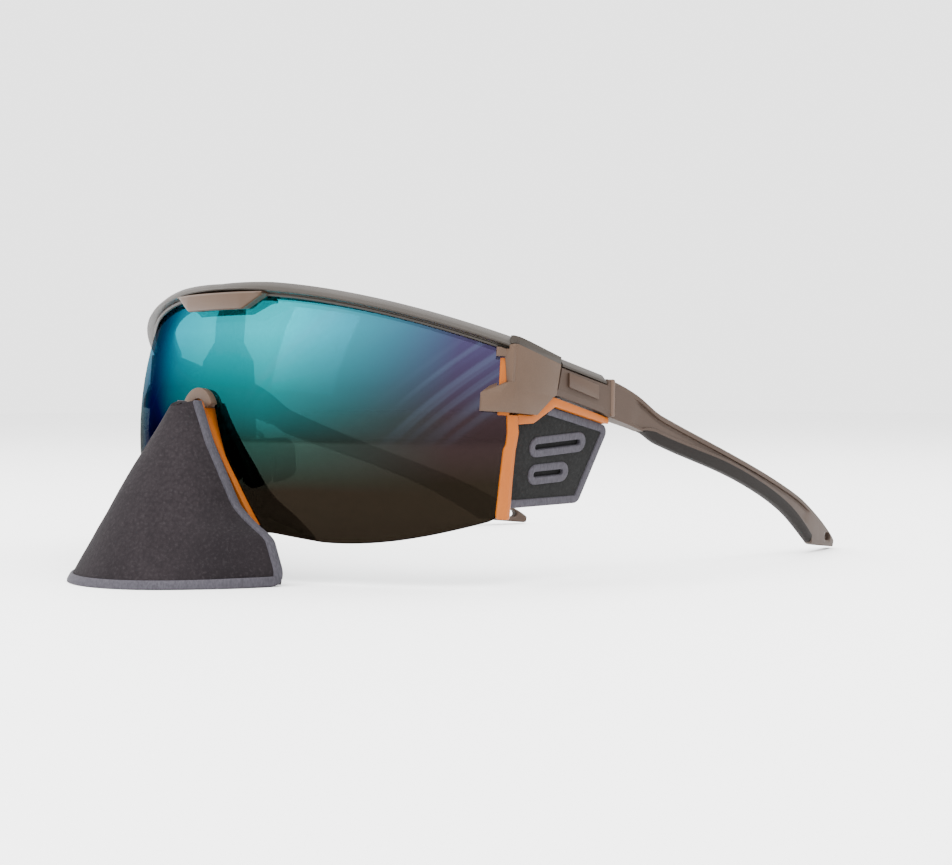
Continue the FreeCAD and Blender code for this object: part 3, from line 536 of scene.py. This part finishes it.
def quadratic(points, x):
    """The parabola through three points."""
    (a, fa), (b, fb), (c, fc) = points
    return (fa * (x - b) * (x - c) / ((a - b) * (a - c)) + fb * (x - a) * (x - c) / ((b - a) * (b - c))
            + fc * (x - a) * (x - b) / ((c - a) * (c - b)))


NOTCH_SIDE = [(NOTCH_R * math.sin(math.radians(74)), NOTCH_Z + NOTCH_R * math.cos(math.radians(74))),
              (10.8, 7.4), (13.5, 2.5), (15.7, -1.9), (19.8, -9.0)]


def lens_low(x):
    """The lens's lower edge, the notch included, by distance from the middle."""
    x = abs(x)
    if x <= NOTCH_SIDE[0][0]:
        return NOTCH_Z + math.sqrt(NOTCH_R ** 2 - x ** 2)
    if x > 33:
        edge = quadratic([(66.5, 1.8), (48.5, -4.3), (33.0, -5.7)], x)
    else:
        edge = between([(21.0, -4.5), (33.0, -5.7)], x)
    corner = 1.6 * max(0.0, (x - 65.0) / 2.0) ** 2
    return max(between(NOTCH_SIDE, x), edge) + corner


def make_lens():
    fine = [i * 0.4 for i in range(14)]
    edge = LENS_R * math.sin(math.radians(LENS_HALF))
    spots = fine + steps(5.6, 22.0, 40) + steps(23.0, 64.0, 52) + steps(64.4, edge, 10)
    angles = [math.degrees(math.asin(x / LENS_R)) for x in spots]
    angles = [-a for a in reversed(angles[1:])] + angles
    chamfer = 0.3
    rows = 14
    sections = []
    for angle in angles:
        low = 0.0
        for _ in range(4):
            low = lens_low(wrap(angle, low, 0)[0])
        top = 51.8 - BROW_SLOPE * wrap(angle, 45, 0)[1]
        heights = [low + chamfer + (top - low - chamfer) * i / rows for i in range(rows + 1)]
        ring = [(h, 0.0) for h in heights] + [(h, -LENS_THICK) for h in reversed(heights)]
        ring += [(low, -LENS_THICK + chamfer), (low, -chamfer)]
        sections.append([wrap(angle, h, off) for h, off in ring])
    lens = solid("lens_shield", *loft(sections), FRONT, sharp=25)
    settle(lens, [LENS], "front", "lens", "lens")


# ---------------------------------------------------------------- brow bar and its clip

def brow_point(angle, radius, height):
    """A point on the brow bar's own arc, which is wider than the lens's."""
    a = math.radians(angle)
    return (radius * math.sin(a), BROW_AXIS - radius * math.cos(a), height)


def make_brow_bar():
    """A bar with a thin lip over the lens; its upper facet and top have the plain brow colour, and every
    other face a darker copy of it, painted shade.
    """
    sections = []
    half = 45.55
    for angle in steps(-half, half, 120):
        depth = brow_point(angle, BROW_R - 1.5, 0)[1]
        low = BROW_UNDER - BROW_SLOPE * depth
        dip = 0.5 * max(0.0, 1 - abs(angle) / 10.5)
        top = BROW_TOP - BROW_SLOPE * depth - dip
        ring = [(-2.6, low + 0.1), (-2.3, low), (-1.9, low + 0.1), (-1.75, low + 0.5), (-1.95, low + 0.65),
                (-1.9, low + 0.8), (-0.6, low + 0.9), (-0.12, low + 1.1), (0.0, low + 1.4),
                (-0.35, top - 1.25), (-0.45, top - 1.1), (-1.5, top - 0.12), (-1.8, top), (-6.3, top),
                (-6.9, top - 0.25), (-7.25, top - 0.7), (-7.25, low - 0.3), (-6.9, low - 0.65),
                (-5.4, low - 0.65), (-5.2, low + 1.1), (-2.6, low + 1.1)]
        sections.append([brow_point(angle, BROW_R + r, h) for r, h in ring])
    verts, faces = loft(sections)
    # the upper facet and top keep the plain colour; every other face gets the painted-shade copy
    light = {9, 10, 11, 12}
    count = len(sections[0])
    colours = [0 if i % count in light else 1 for i in range((len(sections) - 1) * count)] + [1, 1]
    bar = solid("brow_bar_moulding", verts, faces, FRONT, colours=colours, sharp=28)
    settle(bar, [FRAME_LIGHT, FRAME_SHADE], "front", "dark_frame", "brow_bar")


def make_brow_clip():
    """The trapezoid centre piece in front of the bar, with slanted ends and a slanted lower face."""
    sections = []
    for x in steps(-16.8, 16.8, 64):
        angle = math.degrees(math.asin(x / BROW_R))
        low = between([(10.7, 46.0), (16.8, 49.5)], abs(x))
        top = 49.95
        face = min(low + 1.1, top - 0.15)
        slope = between([(10.0, 0.0), (16.8, 0.45)], abs(x))
        ring = [(-2.9, low + 0.35), (0.35 - slope, low), (0.7 - slope, low + 0.2), (1.15 - slope, face),
                (1.2 - slope, top - 0.4), (0.9 - slope, top), (-0.3, top + 0.05), (-2.9, top)]
        sections.append([brow_point(angle, BROW_R + r, h) for r, h in ring])
    clip = solid("brow_clip_moulding", *loft(sections), FRONT, sharp=28)
    settle(clip, [TAUPE], "front", "taupe_frame", "brow_clip")


# ---------------------------------------------------------------- temples

# the temple's upper and lower edges seen from the side, back from the hinge axis
TEMPLE_TOP = [(0.15, 2.1), (15.4, 2.1), (15.6, 3.35), (25.3, 2.4), (35.5, -0.3), (97.0, -5.5),
              (111.0, -7.9), (123.5, -10.8), (126.9, -12.0)]
TEMPLE_LOW = [(0.15, -4.3), (15.4, -4.4), (18.0, -4.9), (30.0, -5.7), (35.5, -7.0), (68.0, -8.4),
              (92.0, -11.2), (110.5, -15.9), (112.5, -16.2), (126.9, -14.2)]
INSET_START = 26.0
INSET_END = 106.0
STRAP_SLOT = (121.4, -12.3, 4.4, 2.2, 8)
ARM_END = 126.9
GRIP_START = 29.0
GRIP_END = 110.5
BLOCK_TOP = 2.1
STRIP_TOP = 4.0


def temple_outer(y):
    """The temple's outer face seen from above, behind the hinge axis by y."""
    if y < 45:
        return eased([(0.0, 4.6), (8.0, 4.6), (17.0, 4.9), (32.0, 5.5), (45.0, 5.6)], y)
    return quadratic([(45.0, 5.6), (86.5, 2.9), (131.0, -7.4)], y)


def temple_inner(y):
    if y < 3.0:
        return 2.6
    thick = [(3.0, 6.0), (15.0, 6.0), (19.0, 5.2), (30.0, 2.9), (45.0, 2.7), (130.0, 2.7)]
    return temple_outer(y) - eased(thick, y)


def grip_rise(y):
    """Height of the soft lower edge above the arm's bottom."""
    return between([(GRIP_START, 0.3), (34.0, 2.2), (60.0, 2.7), (100.0, 2.5), (GRIP_END, 2.0)], y)


def arm_stations(low, high, gap):
    count = max(2, round((high - low) / gap))
    return steps(low, high, count)


# the arm's looks; the groove and the faces underneath are painted shade
PLAIN, PALE, CUT, INSET, UNDER_SHADE = range(5)
ARM_LOOKS = [TAUPE_ARM_SHADE, FRAME_LIGHT, GROOVE_SHADE, TAUPE_PANEL_SHADE, FRAME_SHADE]


def arm_look(y, strip):
    """Which of the arm's looks a strip of faces has, y behind the hinge axis. The faces under the neck and
    the block get painted shade, and the groove above the recessed panel near-black painted shade.
    """
    if INSET_START < y < INSET_END:
        # the groove's three strips are near-black painted shade
        return {4: CUT, 5: CUT, 6: CUT, 7: INSET}.get(strip, PALE)
    if 17.5 < y < 31 and strip in (8, 9, 10, 11):
        return UNDER_SHADE
    if 40 < y < 119:
        return PALE
    return UNDER_SHADE if y < 16 and strip in (10, 11) else PLAIN


def make_temple(side_name, side):
    """The temple's hard core: block, faceted neck, recessed side panel, and strap-slot tip."""
    stations = [0.15, 1.0, 2.0, 2.96, 3.0, 6.0, 9.0, 12.0, 15.4, 15.6]
    stations += arm_stations(17.0, ARM_END - 1, 1.5)
    stations += [ARM_END - 0.6, ARM_END - 0.3, ARM_END - 0.1, ARM_END]
    sections = []
    for y in stations:
        end = max(0.0, (y - (ARM_END - 1)))
        shrink = 0.25 * (1 - math.sqrt(max(0.0, 1 - end ** 2)))
        top, low = eased(TEMPLE_TOP, y), eased(TEMPLE_LOW, y)
        if y <= 15.5:
            top = BLOCK_TOP
        middle = (top + low) / 2
        top, low = top + (middle - top) * shrink, low + (middle - low) * shrink
        base = low + (grip_rise(y) if GRIP_START < y < GRIP_END else 0.0)
        outer, inner = temple_outer(y), temple_inner(y)
        sunk = between([(25.6, 0.0), (26.4, 1.0), (104.0, 1.0), (107.0, 0.0)], y)
        block = between([(16.0, 1.0), (22.0, 0.0)], y)
        deep = 0.65 * sunk
        panel = 0.38 * sunk
        k = min(1.0, (top - low) / 3.4)
        edge = 0.35
        ring = [(inner + edge, top), (outer - 0.7, top), (outer - 0.1, top - 0.35 * k),
                (outer, top - 0.6 * k), (outer, top - 1.35 * k), (outer - deep, top - 1.45 * k),
                (outer - deep, top - (2.0 + 0.2 * sunk) * k), (outer - panel, top - 2.3 * k),
                (outer - panel, base + (0.75 + 0.5 * block) * k),
                (outer, base + (0.6 + 0.5 * block) * k),
                (outer - 0.25 * block, base + (0.3 + 0.5 * block) * k), (outer - 0.8 * block, base),
                (inner + edge, base), (inner, base + edge * k), (inner, top - edge * k)]
        sections.append([(x, y, z) for x, z in ring])
    verts, faces = loft(sections)
    count = len(sections[0])
    middles = [(a + b) / 2 for a, b in zip(stations, stations[1:])]
    colours = [arm_look(y, strip) for y in middles for strip in range(count)]
    colours += [PLAIN, PLAIN]
    arm = solid(f"temple_arm_{side_name}", verts, faces, TEMPLE, side, colours, sharp=24)
    cutter = plate("strap_cutter", [oblong(*STRAP_SLOT)], -20, 10, TEMPLE, side, 0.01)
    hole = arm.modifiers.new("strap", "BOOLEAN")
    hole.object = cutter
    hole.solver = "EXACT"
    bake(arm)
    bpy.data.objects.remove(cutter)
    settle(arm, ARM_LOOKS, f"arm_{side_name}", "taupe_frame", f"temple_{side_name}")
    barrel = [[(2.2 * math.cos(a), 2.2 * math.sin(a), z) for a in (math.radians(15 * k) for k in range(24))]
              for z in (-1.7, -0.1)]
    knuckle = bevel(solid(f"temple_knuckle_{side_name}", *loft(barrel), TEMPLE, side), 0.15)
    settle(knuckle, [TAUPE], f"arm_{side_name}", "taupe_frame")
    web = [[(0.2, 0.4, z), (3.4, 0.4, z), (3.4, 4.4, z), (0.2, 4.4, z)] for z in (-1.7, -0.1)]
    arm_web = solid(f"temple_web_{side_name}", *loft(web), TEMPLE, side)
    settle(arm_web, [TAUPE], f"arm_{side_name}", "taupe_frame")


def make_grip(side_name, side):
    """The soft dark edge moulded on under the arm."""
    sections = []
    for y in arm_stations(GRIP_START, GRIP_END, 1.5):
        low = eased(TEMPLE_LOW, y)
        outer, inner = temple_outer(y), temple_inner(y)
        ease = min(1.0, (y - GRIP_START) / 5, (GRIP_END - y) / 4)
        proud = 0.28 * ease
        rise = grip_rise(y)
        ring = [(outer, low + rise), (outer + proud * 0.8, low + rise - 0.15),
                (outer + proud, low + rise - 0.4), (outer + proud * 0.3, low + min(1.1, rise * 0.5)),
                (outer - 0.5, low + 0.15), (outer - 0.9, low), (inner + 0.7, low), (inner + 0.2, low + 0.2),
                (inner - proud * 0.6, low + min(0.9, rise * 0.5)), (inner - proud * 0.6, low + rise - 0.2),
                (inner, low + rise)]
        sections.append([(x, y, z) for x, z in ring])
    grip = solid(f"temple_soft_grip_{side_name}", *loft(sections), TEMPLE, side, sharp=28)
    settle(grip, [GRIP], f"arm_{side_name}", "soft_grip", f"temple_grip_{side_name}")


def make_ring(side_name, side):
    """A thin pale band round the arm, leaning back at the bottom."""
    sections = []
    for front in (0.0, 0.35, 0.95, 1.3):
        proud = 0.32 if 0.1 < front < 1.2 else 0.05
        loop = []
        for x_end, z in ((1, 3.2), (1, -4.35), (0, -4.35), (0, 3.2)):
            y = 16.0 + (3.2 - z) * 0.24 + front
            x = temple_outer(y) + proud if x_end else temple_inner(y) - proud
            edge_z = z + proud * (1 if z > 0 else -1)
            loop.append((x, y, edge_z))
        sections.append(loop)
    ring = bevel(solid(f"temple_band_{side_name}", *loft(sections), TEMPLE, side), 0.12, 2)
    settle(ring, [RING], f"arm_{side_name}", "taupe_frame", f"temple_ring_{side_name}")


def make_top_strip(side_name, side):
    """The dark strip on the block, with one slanted facet."""
    sections = []
    for y, drop in ((0.18, 0.15), (0.3, 0.0), (14.4, 0.0), (15.2, 0.6)):
        top = STRIP_TOP - drop
        ring = [(-1.0, BLOCK_TOP), (-1.0, top - 0.35), (-0.7, top), (3.2, top), (3.5, top - 0.15),
                (4.55, 2.6), (4.62, 2.4), (4.62, BLOCK_TOP)]
        sections.append([(x, y, z) for x, z in ring])
    strip = bevel(solid(f"temple_cap_{side_name}", *loft(sections), TEMPLE, side), 0.12, 2)
    settle(strip, [FRAME_LIGHT], f"arm_{side_name}", "dark_frame", f"temple_top_{side_name}")


# ---------------------------------------------------------------- side shields

SHIELD_OUTLINE = [(34.6, -23.3), (57.7, -21.1), (63.9, -2.9), (43.0, 0.2), (38.6, -4.0), (35.4, -4.4)]
SHIELD_CLOTH = [(34.2, -22.7), (57.2, -20.6), (63.3, -3.2), (43.2, 0.5), (38.1, -3.3), (34.6, -3.5)]
VENTS = [(48.1, -8.15, 17.6, 8.5), (46.6, -14.7, 12.6, 7.3)]


def make_shield(side_name, side):
    body = f"shield_{side_name}"
    outline = rounded(SHIELD_CLOTH, 1.2)
    holes = [oblong(y, z, length - 2.4, 2.6, angle) for y, z, length, angle in VENTS]
    panel = plate(f"shield_fabric_{side_name}", [outline] + holes, -1.4, 0.0, SHIELD, side, 0.25)
    settle(panel, [PANEL], body, "shield_fabric", f"shield_panel_{side_name}")
    band = make_shield_tape(side_name, side)
    trims = [[oblong(y, z, length, 4.6, angle), oblong(y, z, length - 3.4, 1.25, angle)]
             for y, z, length, angle in VENTS]
    vent = plate(f"shield_vent_trims_{side_name}", trims[0] + trims[1], -1.75, 0.35, SHIELD, side, 0.3)
    settle(vent, [TAPE], body, "binding", f"shield_vent_{side_name}")
    slots = [oblong(y, z, length - 2.6, 2.4, angle) for y, z, length, angle in VENTS]
    gauze = [plate(f"shield_gauze_{index}_{side_name}", [loop], -1.0, -0.7, SHIELD, side, 0.05)
             for index, loop in enumerate(slots)]
    for net in gauze:
        settle(net, [GAUZE], body, "shield_fabric")


def make_shield_tape(side_name, side):
    """The tape folded over the shield's top, back and bottom edges."""
    outer = rounded(SHIELD_OUTLINE[:4], 2.2)
    run = [(36.2, -23.2)] + [p for p in outer if p[0] > 44 or (p[1] < -15 and p[0] > 37)]
    run.sort(key=lambda p: math.atan2(p[1] + 11.6, p[0] - 46.0))
    run += [(43.4, 0.13)]
    sections = []
    for index, (y, z) in enumerate(run):
        before, after = Vector(run[max(index - 1, 0)]), Vector(run[min(index + 1, len(run) - 1)])
        along = (after - before).normalized()
        inwards = Vector((-along.y, along.x))
        ring = []
        for a, b in ((1.9, 0.05), (1.8, 0.28), (1.5, 0.36), (0.4, 0.36), (0.1, 0.2), (0.0, -0.2), (0.0, -1.2),
                     (0.1, -1.6), (0.4, -1.76), (1.5, -1.76), (1.8, -1.68), (1.9, -1.45)):
            ring.append((b, y + inwards.x * a, z + inwards.y * a))
        sections.append(ring)
    band = solid(f"shield_tape_{side_name}", *loft(sections), SHIELD, side, sharp=40)
    return settle(band, [TAPE], f"shield_{side_name}", "binding", f"shield_binding_{side_name}")


# the clip's channel: height, and the angles of its front and back edges round the lens's axis
CHANNEL = [(1.8, 48.8, 50.4), (2.1, 48.6, 50.55), (2.8, 48.55, 50.6), (10.0, 48.75, 50.6),
           (16.9, 49.0, 50.75), (18.0, 49.3, 50.85), (20.6, 49.4, 51.05), (22.4, 49.3, 50.9),
           (24.3, 49.2, 50.8)]
CHANNEL_LIP = [(48.0, 0.12), (48.0, 0.8), (48.2, 1.15), (49.55, 1.15), (49.55, 0.12)]


def make_shield_clip(side_name, side):
    """The orange clip: a channel on the lens's edge, and a bar under the end piece and the block."""
    sections = []
    for height, front, back in CHANNEL:
        ring = [(front + 0.1, 0.12), (front, 0.4), (front + 0.12, 1.0), (front + 0.3, 1.2),
                (back - 0.45, 1.2), (back - 0.1, 0.8), (back, 0.3), (back, -2.9), (back - 0.3, -3.35),
                (front + 0.6, -3.35), (front + 0.15, -2.9), (front + 0.2, -2.35)]
        sections.append([wrap(angle, height, off) for angle, off in ring])
    strip = solid(f"shield_clip_channel_{side_name}", *loft(sections), FRONT, side, sharp=30)
    settle(strip, [ORANGE], f"shield_{side_name}", "orange_clip", f"shield_clip_{side_name}")
    lip = [[wrap(angle, height, off) for angle, off in CHANNEL_LIP] for height in steps(24.2, 36.6, 8)]
    upper = solid(f"shield_clip_lip_{side_name}", *loft(lip), FRONT, side, sharp=30)
    settle(upper, [ORANGE], f"shield_{side_name}", "orange_clip")
    bar = [(32.6, 22.4), (37.6, 23.0), (44.2, 27.1), (61.9, 24.4), (61.6, 25.9), (43.5, 29.2),
           (42.3, 28.7), (36.9, 24.75), (32.6, 24.75)]
    back = [(32.6, 22.6), (43.2, 27.8), (43.2, 28.9), (36.0, 30.2), (32.6, 30.2)]
    web = plate(f"shield_clip_web_{side_name}", [rounded(back, 0.3, 0, 3)], 66.9, 68.3, FRONT, side, 0.2)
    settle(web, [ORANGE], f"shield_{side_name}", "orange_clip")
    rail = plate(f"shield_clip_bar_{side_name}", [rounded(bar, 0.3, 0, 3)], 67.2, 70.2, FRONT, side, 0.25)
    settle(rail, [ORANGE], f"shield_{side_name}", "orange_clip")


# ---------------------------------------------------------------- nose clip and nose cover

# height; half width, depth and flare of the side edges; reach in front of the lens
COVER_LEVELS = [(24.6, 3.2, -3.1, 0.0, 8.6), (15.2, 9.1, -3.0, 0.0, 13.3), (9.1, 12.6, -1.8, 0.0, 16.4),
                (1.3, 16.2, 0.3, 0.0, 20.3), (-2.0, 18.0, 1.7, 1.9, 22.0), (-5.4, 20.4, 2.3, 6.3, 23.8),
                (-12.4, 25.2, 2.4, 5.4, 26.9), (-20.0, 28.4, 2.4, 1.2, 30.2)]
COVER_TOP = 24.6
CLOTH = 1.3
FLARE_FROM = 0.5


def floor_at(y):
    """The table's height in the front frame."""
    lean = math.radians(LEAN)
    return (y * math.sin(lean) - FLOOR_H) / math.cos(lean)


def cover_level(height):
    """Half width, depth, flare and reach at a height, its kinks slightly eased."""
    spread = (-0.8, -0.4, 0.0, 0.4, 0.8)
    rows = sorted(COVER_LEVELS)
    level = []
    for k in (1, 2, 3, 4):
        column = [(row[0], row[k]) for row in rows]
        level.append(sum(between(column, height + d) for d in spread) / len(spread))
    return level


def cover_point(s, v):
    """The nose cover's outer face. s runs from one side edge to the other, -1 to 1, and v down from
    the top, 0 to 1."""
    turned = s * math.pi / 2
    low = -17.0
    for _ in range(3):
        width, edge, flare, reach = cover_level(low)
        low = floor_at(edge - (reach + edge) * math.cos(turned))
    top = COVER_TOP - 1.6 * math.cos(turned) ** 3
    height = top + (low - top) * v
    width, edge, flare, reach = cover_level(height)
    share = max(0.0, (abs(s) - FLARE_FROM) / (1 - FLARE_FROM))
    share = share * share * (3 - 2 * share)
    sag = 0.25 * math.sin(3 * math.pi * v) * math.cos(turned) ** 2
    x = (width + flare * share - sag) * math.sin(turned)
    y = edge - (reach + edge - sag) * math.cos(turned)
    return Vector((x, y, height))


def cover_normal(s, v):
    e = 0.004
    across = cover_point(min(s + e, 1), v) - cover_point(max(s - e, -1), v)
    down = cover_point(s, min(v + e, 1)) - cover_point(s, max(v - e, 0))
    return down.cross(across).normalized()


def make_cover():
    columns, rows = 84, 60
    grid = []
    for layer in (0, 1):
        for i in range(columns + 1):
            for j in range(rows + 1):
                s, v = -1 + 2 * i / columns, j / rows
                outward = cover_normal(s, v)
                depth = 0.25 + layer * (CLOTH - 0.25)
                point = cover_point(s, v) - outward * depth
                point.z = max(point.z, floor_at(point.y) + 0.35)
                grid.append(point)
    row = rows + 1
    shift = (columns + 1) * row
    faces = []
    for i in range(columns):
        for j in range(rows):
            a = i * row + j
            quad = (a, a + 1, a + row + 1, a + row)
            faces.append(quad)
            faces.append(tuple(k + shift for k in reversed(quad)))
    rim = [i * row for i in range(columns)] + [columns * row + j for j in range(rows)]
    rim += [i * row + rows for i in range(columns, 0, -1)] + [j for j in range(rows, 0, -1)]
    for a, b in zip(rim, rim[1:] + rim[:1]):
        faces.append((a, b, b + shift, a + shift))
    cover = solid("nose_cover_cloth", grid, faces, FRONT, sharp=60)
    settle(cover, [COVER], "beak", "cover_fabric", "nose_cover")
    hem = make_cover_tape()


def cover_edge():
    """The cover's free edge as (s, v): down one side, along the bottom and up the other side."""
    side = [(-1.0, v) for v in steps(0.0, 0.955, 60)] + [(-0.996, 0.974), (-0.984, 0.989), (-0.966, 0.998)]
    bottom = [(s, 1.0) for s in steps(-0.94, 0.94, 100)]
    return side + bottom + [(-s, v) for s, v in reversed(side)]


def make_cover_tape():
    """Tape folded over the cover's side and bottom edges."""
    width = 2.3
    path = cover_edge()
    sections = []
    for index, (s, v) in enumerate(path):
        edge = cover_point(s, v)
        before = cover_point(*path[max(index - 1, 0)])
        after = cover_point(*path[min(index + 1, len(path) - 1)])
        outward = cover_normal(s, v)
        inwards = outward.cross(after - before).normalized()
        ring = []
        for a, b in ((width, -0.2), (width - 0.08, 0.12), (width - 0.4, 0.24), (0.5, 0.24),
                     (0.12, 0.05), (0.0, -0.3), (0.0, -CLOTH + 0.2), (0.12, -CLOTH - 0.1),
                     (0.5, -CLOTH - 0.28), (width - 0.4, -CLOTH - 0.28), (width - 0.08, -CLOTH - 0.15),
                     (width, -CLOTH + 0.1)):
            point = edge + inwards * a + outward * b
            point.z = max(point.z, floor_at(point.y) + 0.02)
            ring.append(point)
        sections.append(ring)
    hem = solid("nose_cover_tape", *loft(sections), FRONT, sharp=45)
    return settle(hem, [TAPE], "beak", "binding", "nose_binding")


def notch_path():
    """Points and outward directions along the lens notch, from the lower left over the top."""
    right = []
    for angle in steps(0, 74, 14):
        a = math.radians(angle)
        out = Vector((math.sin(a), math.cos(a)))
        right.append((Vector((0, NOTCH_Z)) + out * NOTCH_R, out))
    side = [Vector(p) for p in NOTCH_SIDE]
    end = Vector((16.6, -3.4))
    corners = side[:3] + [end]
    for first, last in zip(corners, corners[1:]):
        along = (last - first).normalized()
        out = Vector((-along.y, along.x))
        for share in steps(0.0, 1.0, 10)[1:]:
            right.append((first.lerp(last, share), out))
    smooth = []
    for index, (spot, out) in enumerate(right):
        near = right[max(index - 2, 0):index + 3]
        mean = sum((o for _, o in near), Vector((0, 0))).normalized()
        smooth.append((spot, mean if index else out))
    left = [(Vector((-p.x, p.y)), Vector((-o.x, o.y))) for p, o in reversed(smooth[1:])]
    return left + smooth


def make_nose_clip():
    """The orange clip that follows the notch's edge and passes inside the bridge's arch."""
    sections = []
    for spot, out in notch_path():
        low = min(1.0, max(0.0, (20.0 - spot.y) / 13))
        wide, narrow = -1.45 + 2.75 * low, -2.6 + 0.95 * low
        ring = []
        for a, b in ((wide, -0.1), (wide - 0.1, -0.85), (wide - 0.45, -1.15), (narrow + 0.3, -1.15),
                     (narrow, -0.8), (narrow, 1.5), (narrow + 0.2, 1.75),
                     (min(wide, -0.15) - 0.2, 1.75), (min(wide, -0.15), 1.5), (min(wide, -0.15), -0.1)):
            x, z = spot.x + out.x * a, spot.y + out.y * a
            ring.append((x, lens_face(x, z, -b), z))
        sections.append(ring)
    clip = solid("nose_clip_moulding", *loft(sections), FRONT, sharp=30)
    settle(clip, [ORANGE], "beak", "orange_clip", "nose_clip")


# ---------------------------------------------------------------- table, light and camera

def make_stage():
    bpy.ops.mesh.primitive_plane_add(size=6, location=(0, 0, 0))
    table = bpy.context.object
    table.name = "table_top"
    n = Nodes("pale_table")
    n.link(n.mix(n.noise(2, 2), (0.93, 0.93, 0.93, 1), (0.97, 0.97, 0.97, 1)), n.shader.inputs["Base Color"])
    n.set(Roughness=0.6, Specular_IOR_Level=0.2)
    table.data.materials.append(n.material)


def soft_light(name, place, target, size, power, colour=(1, 1, 1)):
    data = bpy.data.lights.new(name, "AREA")
    data.shape = "RECTANGLE"
    data.size, data.size_y = size
    data.energy = power
    data.color = colour
    light = bpy.data.objects.new(name, data)
    bpy.context.scene.collection.objects.link(light)
    light.location = place
    light.rotation_euler = (Vector(target) - Vector(place)).to_track_quat("-Z", "Y").to_euler()
    return light


def make_lights():
    soft_light("overhead", (0.1, 0.0, 0.9), (0, 0, 0.03), (1.2, 1.2), 26.0)
    key = soft_light("key", (-0.25, -1.0, 0.6), (0, 0, 0.03), (0.5, 0.7), 14.0)
    key.visible_glossy = False
    world = bpy.data.worlds.new("studio")
    world.use_nodes = True
    world.node_tree.nodes["Background"].inputs["Color"].default_value = (1, 1, 1, 1)
    world.node_tree.nodes["Background"].inputs["Strength"].default_value = 2.8
    bpy.context.scene.world = world


def make_camera():
    """A long lens at table height, turned towards the wearer's left half."""
    azimuth = math.radians(46.5)
    data = bpy.data.cameras.new("camera")
    data.sensor_width = 36.0
    data.lens = 63.4
    data.clip_start = 0.01
    camera = bpy.data.objects.new("camera", data)
    bpy.context.scene.collection.objects.link(camera)
    camera.location = (0.3255, -0.28824, 0.04217)
    level = Vector((-math.sin(azimuth), math.cos(azimuth), -math.tan(math.radians(1.316))))
    camera.rotation_euler = level.to_track_quat("-Z", "Y").to_euler()
    bpy.context.scene.camera = camera


# ---------------------------------------------------------------- making it all

make_camera()
make_lights()
make_stage()
make_lens()
make_brow_bar()
make_brow_clip()
make_nose_clip()
make_cover()
finish_node("nose_bridge", TAUPE, 0.3, 3)
for name, sign in SIDES:
    make_temple(name, sign)
    make_grip(name, sign)
    make_ring(name, sign)
    make_top_strip(name, sign)
    make_shield(name, sign)
    make_shield_clip(name, sign)
    finish_node(f"end_piece_{name}", TAUPE, 0.3, 3)
    finish_node(f"corner_cap_{name}", FRAME_LIGHT, 0.12)
    finish_node(f"hinge_screw_{name}", STEEL, 0.05)
    finish_node(f"temple_badge_{name}", TAUPE_PANEL_SHADE, 0.1)
    finish_node(f"nose_pad_{name}", PAD, 0.6, 4)
    finish_node(f"pad_wire_{name}", STEEL, 0.0)
